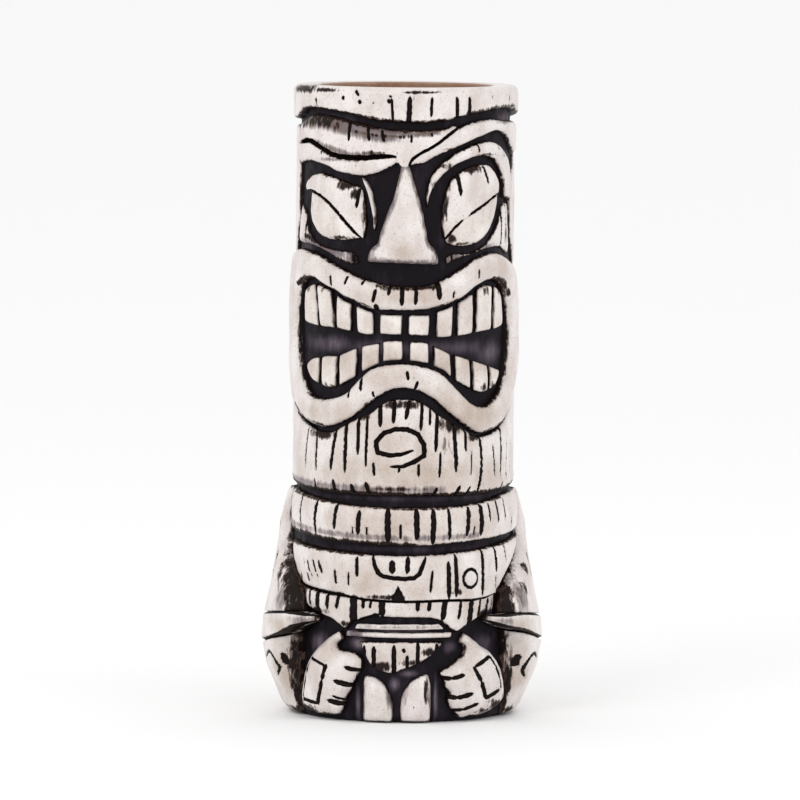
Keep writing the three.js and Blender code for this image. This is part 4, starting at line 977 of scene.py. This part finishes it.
# One side's arm, cuff and thigh: the cuff shares its two edges with the arm above and the thigh below it.
def makeLimb(side, sign):
    def turned(places):
        return [(sign * a, z) for a, z in places]

    low, high = limbs[side + "CuffLow"], limbs[side + "CuffHigh"]
    thighTop = [place for place in low if abs(place[0]) > 60]
    makeSprig(side + "_arm", {
        "first": turned(limbs["armFront"]), "second": turned(limbs["armBack"]), "rise": armRise,
        "step": 0.45, "round": limbs["armRound"], "swell": 0.06, "joined": "a",
        "stains": limbs[side + "Brush"],
        "thin": [(sign * 65, 40, 6, 6, 0.9), (turned([(62, 45), (86, 60)]), 1.6, 0.7)],
        "cuts": [(high, 0.9, 1.0), (turned([(86, 54), (84, 50), (87, 45)]), 1.2, 1.1)]
        + [(turned(places), 1.1, 1.0) for places in limbs["armStrokes"]],
    }, cream)
    makeSprig(side + "_cuff", {
        "first": low, "second": high, "rise": cuffRise, "round": limbs["cuffRound"], "joined": "fs",
        "swell": 0.04, "cuts": [(low, 1.1, 1.2), (high, 0.9, 1.0)], "thin": [(sign * 50, 33, 5, 2, 0.7)],
        "beigePoolAndShade": [(sign * 60, 31, 12, 3, 0.9)],
    }, cream)
    makeSprig(side + "_thigh", {
        "first": turned([(64, 0.5), (76, 0.5), (95, 0.5), (117, 0.5)]), "second": thighTop, "rise": armRise,
        "step": 0.45, "round": limbs["thighRound"], "swell": 0.06, "joined": "s",
        "stains": [(turned([(64.4, 0), (64.4, 8), (64, 16), (62, 27)]), 1.2, 1.0),
                   (sign * 66, 2, 12, 1.6, 0.85)],
        "beigePoolAndShade": [(sign * 66, 16, 5, 10, 0.9)],
        "cuts": [(low, 1.1, 1.2)] + [(turned(places), 1.2, 1.1) for places in limbs["thighStrokes"]],
    }, cream)


makeLimb("left", -1)
makeLimb("right", 1)
makeSprig("left_hand", {
    "first": [(-49.2, 1.6), (-55.5, 2.4), (-58.2, 4.3), (-58.2, 9.8), (-54.5, 17.8), (-51.3, 21.4),
        (-44, 25.9), (-33.4, 30.6)],
    "second": [(-38.9, 1.4), (-32.7, 2.2), (-30.6, 3.9), (-28.1, 8.4), (-25.5, 10.9), (-24.5, 12.9),
        (-23, 14.4), (-21.9, 16.4), (-20.2, 17.4), (-20, 20.4), (-21.4, 22.2), (-25.5, 23.4), (-32.7, 24.1),
        (-34.2, 25.2), (-30.6, 27.4), (-32.2, 30.4)],
    "rise": 5.7, "round": 3.0, "swell": 0.3,
    "cuts": strokes([(-27.6, 18.4, -18.6, 17, 1.6), (-33.2, 13.7, -23.4, 12, 1.8),
        (-37.2, 7, -27.4, 5.6, 1.8), (-34.6, 8.6, -28.6, 7.2, 0.8), (-48.9, 20.8, -38, 18.4, 1.0),
        (-37.6, 18.8, -40, 13.6, 1.4), (-40, 13.6, -43.2, 5.2, 1.4), (-54.4, 6.4, -43, 5.6, 1.3),
        (-48.8, 20.4, -52, 14.9, 1.0), (-52, 14.9, -54.4, 6, 1.1)]),
    "stains": [(-52, 3.2, 9, 1.8, 1.0), (-57, 5, 3, 3, 0.9), (-40, 2, 8, 0.8, 0.8),
        (-26, 23.4, 5, 0.5, 0.6)],
    "beigePoolAndShade": [(-36, 24, 8, 5, 0.6), (-48, 15, 5, 4, 0.35)],
}, cream)
makeSprig("right_hand", {
    "first": [(36.8, 1.4), (30.6, 1.4), (24, 6.4), (23.5, 8.3), (24.5, 9.9), (22.2, 11.9), (21.7, 13.9),
        (18.9, 16.9), (20.4, 17.5), (25.5, 19.3), (29.6, 21.3), (32.2, 22.5), (32.7, 24.9), (30.1, 26.9),
        (32.3, 30.1)],
    "second": [(45.1, 1.6), (51.3, 2.6), (57.7, 4.6), (60.9, 6.8), (60.4, 13.8), (53.4, 21.2), (48.2, 23.9),
        (43, 25.7), (33.2, 30.2)],
    "rise": 5.7, "round": 3.0, "swell": 0.3,
    "cuts": strokes([(19, 15.2, 24.5, 14.9, 1.6), (24.5, 14.9, 31, 16, 1.5), (21.8, 9.1, 27.6, 8.4, 1.6),
        (27.6, 8.4, 36, 9.6, 1.6), (25.6, 4.1, 30.6, 4.4, 1.3), (30.6, 4.4, 39.6, 6.1, 1.3),
        (37.1, 18.6, 46.3, 21.6, 1.5), (46.3, 21.6, 50.5, 18.2, 1.0), (50.5, 18.2, 54.2, 13.6, 1.2),
        (54.2, 13.6, 55.2, 10.2, 1.2), (43.6, 7.6, 53.6, 10, 1.5), (36.1, 18.4, 40.4, 13.4, 1.4),
        (40.4, 13.4, 43.6, 7.6, 1.6)]),
    "stains": [(53, 4.6, 8, 2.4, 1.0), (58, 8, 3, 3, 0.8), (45, 3.4, 7, 1.2, 0.8), (48, 6.4, 4, 1.2, 0.7)],
    "beigePoolAndShade": [(33, 24, 8, 6, 0.7), (30, 12, 8, 6, 0.4)],
}, cream)
makeSprig("left_foot", {
    "first": [(-20.4, 0.3), (-20.2, 6.7), (-20.2, 13.2), (-19.8, 15.6)],
    "second": [(-4.4, 0.3), (-4, 3), (-4.4, 7), (-6.6, 11), (-10, 14), (-16, 16)], "rise": 3.7,
    "round": 2.4, "swell": 0.3, "edge": 0.3, "thin": [(-6, 10, 2, 6, 0.9), (-19, 8, 1.4, 8, 0.7)],
    "beigePoolAndShade": [(-12, 5, 10, 8, 0.3)],
}, cream)
makeSprig("right_foot", {
    "first": [(-0.8, 0.3), (-1, 5), (-0.2, 9), (2.4, 12.4), (6, 14.9), (11.4, 16.6)],
    "second": [(15.4, 0.3), (15.8, 5.7), (15.6, 12), (14.6, 16.6)], "rise": 3.7, "round": 2.4, "swell": 0.3,
    "edge": 0.3, "thin": [(1, 11, 2.4, 5, 0.9), (15, 8, 1.6, 8, 0.8)],
    "stains": [(12, 10, 1.6, 7, 0.8), (5.8, 5.6, 0.6, 0.5, 0.8)],
}, cream)

# Back of the body
makeSprig("shoulder_band_back", {
    "first": [(121, 61.4), (121.5, 67), (115, 75)], "second": [(239, 61.4), (238.5, 67), (245, 75)],
    "rise": 2.7, "step": 0.5, "cuts": grain(122, 238, 62, 73, 8, 9, 0.5),
    "stains": [([(121, 61.6), (239, 61.6)], 1.1, 0.8), ([(116, 74.6), (244, 74.6)], 1.1, 0.8)],
    "beigePoolAndShade": [(180, 66, 50, 8, 0.7)],
}, cream)
makeSprig("lower_back", {
    "first": [(120, 1), (121, 20), (121, 40), (122, 57.6)],
    "second": [(240, 1), (239, 20), (239, 40), (238, 57.6)], "rise": 3.2, "step": 0.55,
    "cuts": grain(123, 237, 2, 28, 9, 20, 1.5) + grain(123, 237, 32, 57, 8, 19, 0.7) + [([(121, 30),
        (150, 29.4), (180, 30.4), (210, 29.6), (239, 30)], 1.3, 1.2)],
    "stains": [([(121, 57.4), (239, 57.4)], 1.2, 0.8), ([(121, 1), (239, 1)], 1.8, 0.8)],
    "beigePoolAndShade": [(180, 18, 50, 12, 0.6), (180, 46, 50, 8, 0.6)],
}, cream)
print("sprigs made")

# Floor, soft light and camera
studio = {
    "distance": 2.4, "eyeHeight": 0.289, "aimHeight": 0.1043, "aimSide": -0.0012, "lens": 324.0,
    "lean": 0.45, "world": 1.0, "lampSize": 0.9,
    "lamps": [("keyLight", (-0.9, -1.3, 1.1), 6), ("fillLight", (1.3, -1.0, 0.6), 2.5)],
}


def makeStudio():
    mesh = bpy.data.meshes.new("floor")
    mesh.from_pydata([(-40, -10, 0), (40, -10, 0), (40, 70, 0), (-40, 70, 0)], [], [(0, 1, 2, 3)])
    floor = bpy.data.objects.new("floor", mesh)
    bpy.context.scene.collection.objects.link(floor)
    pale = bpy.data.materials.new("paleFloor")
    pale.use_nodes = True
    pale.node_tree.nodes["Principled BSDF"].inputs["Base Color"].default_value = (0.94, 0.94, 0.94, 1)
    pale.node_tree.nodes["Principled BSDF"].inputs["Roughness"].default_value = 0.9
    mesh.materials.append(pale)
    world = bpy.data.worlds.new("softWorld")
    world.use_nodes = True
    world.node_tree.nodes["Background"].inputs[0].default_value = (1, 1, 1, 1)
    world.node_tree.nodes["Background"].inputs[1].default_value = studio["world"]
    bpy.context.scene.world = world
    for name, place, power in studio["lamps"]:
        lamp = bpy.data.lights.new(name, "AREA")
        lamp.size = studio["lampSize"]
        lamp.energy = power
        lit = bpy.data.objects.new(name, lamp)
        bpy.context.scene.collection.objects.link(lit)
        lit.location = place
        away = Vector(place) - Vector((0, 0, 0.1))
        lit.rotation_euler = away.to_track_quat("Z", "Y").to_euler()
    camera = bpy.data.objects.new("camera", bpy.data.cameras.new("camera"))
    bpy.context.scene.collection.objects.link(camera)
    camera.data.lens = studio["lens"]
    camera.data.sensor_width = 36.0
    camera.data.clip_end = 200
    eye = Vector((studio["aimSide"], -studio["distance"], studio["eyeHeight"]))
    aim = Vector((studio["aimSide"], 0, studio["aimHeight"]))
    turn = (eye - aim).to_track_quat("Z", "Y").to_matrix()
    lean = math.radians(studio["lean"])
    right = turn.col[0] * math.cos(lean) + turn.col[1] * math.sin(lean)
    up = turn.col[1] * math.cos(lean) - turn.col[0] * math.sin(lean)
    back = turn.col[2]
    camera.matrix_world = Matrix(((right.x, up.x, back.x, eye.x), (right.y, up.y, back.y, eye.y),
                                     (right.z, up.z, back.z, eye.z), (0, 0, 0, 1)))
    bpy.context.scene.camera = camera
    bpy.context.scene.view_settings.view_transform = "Standard"


makeStudio()
print("studio made")
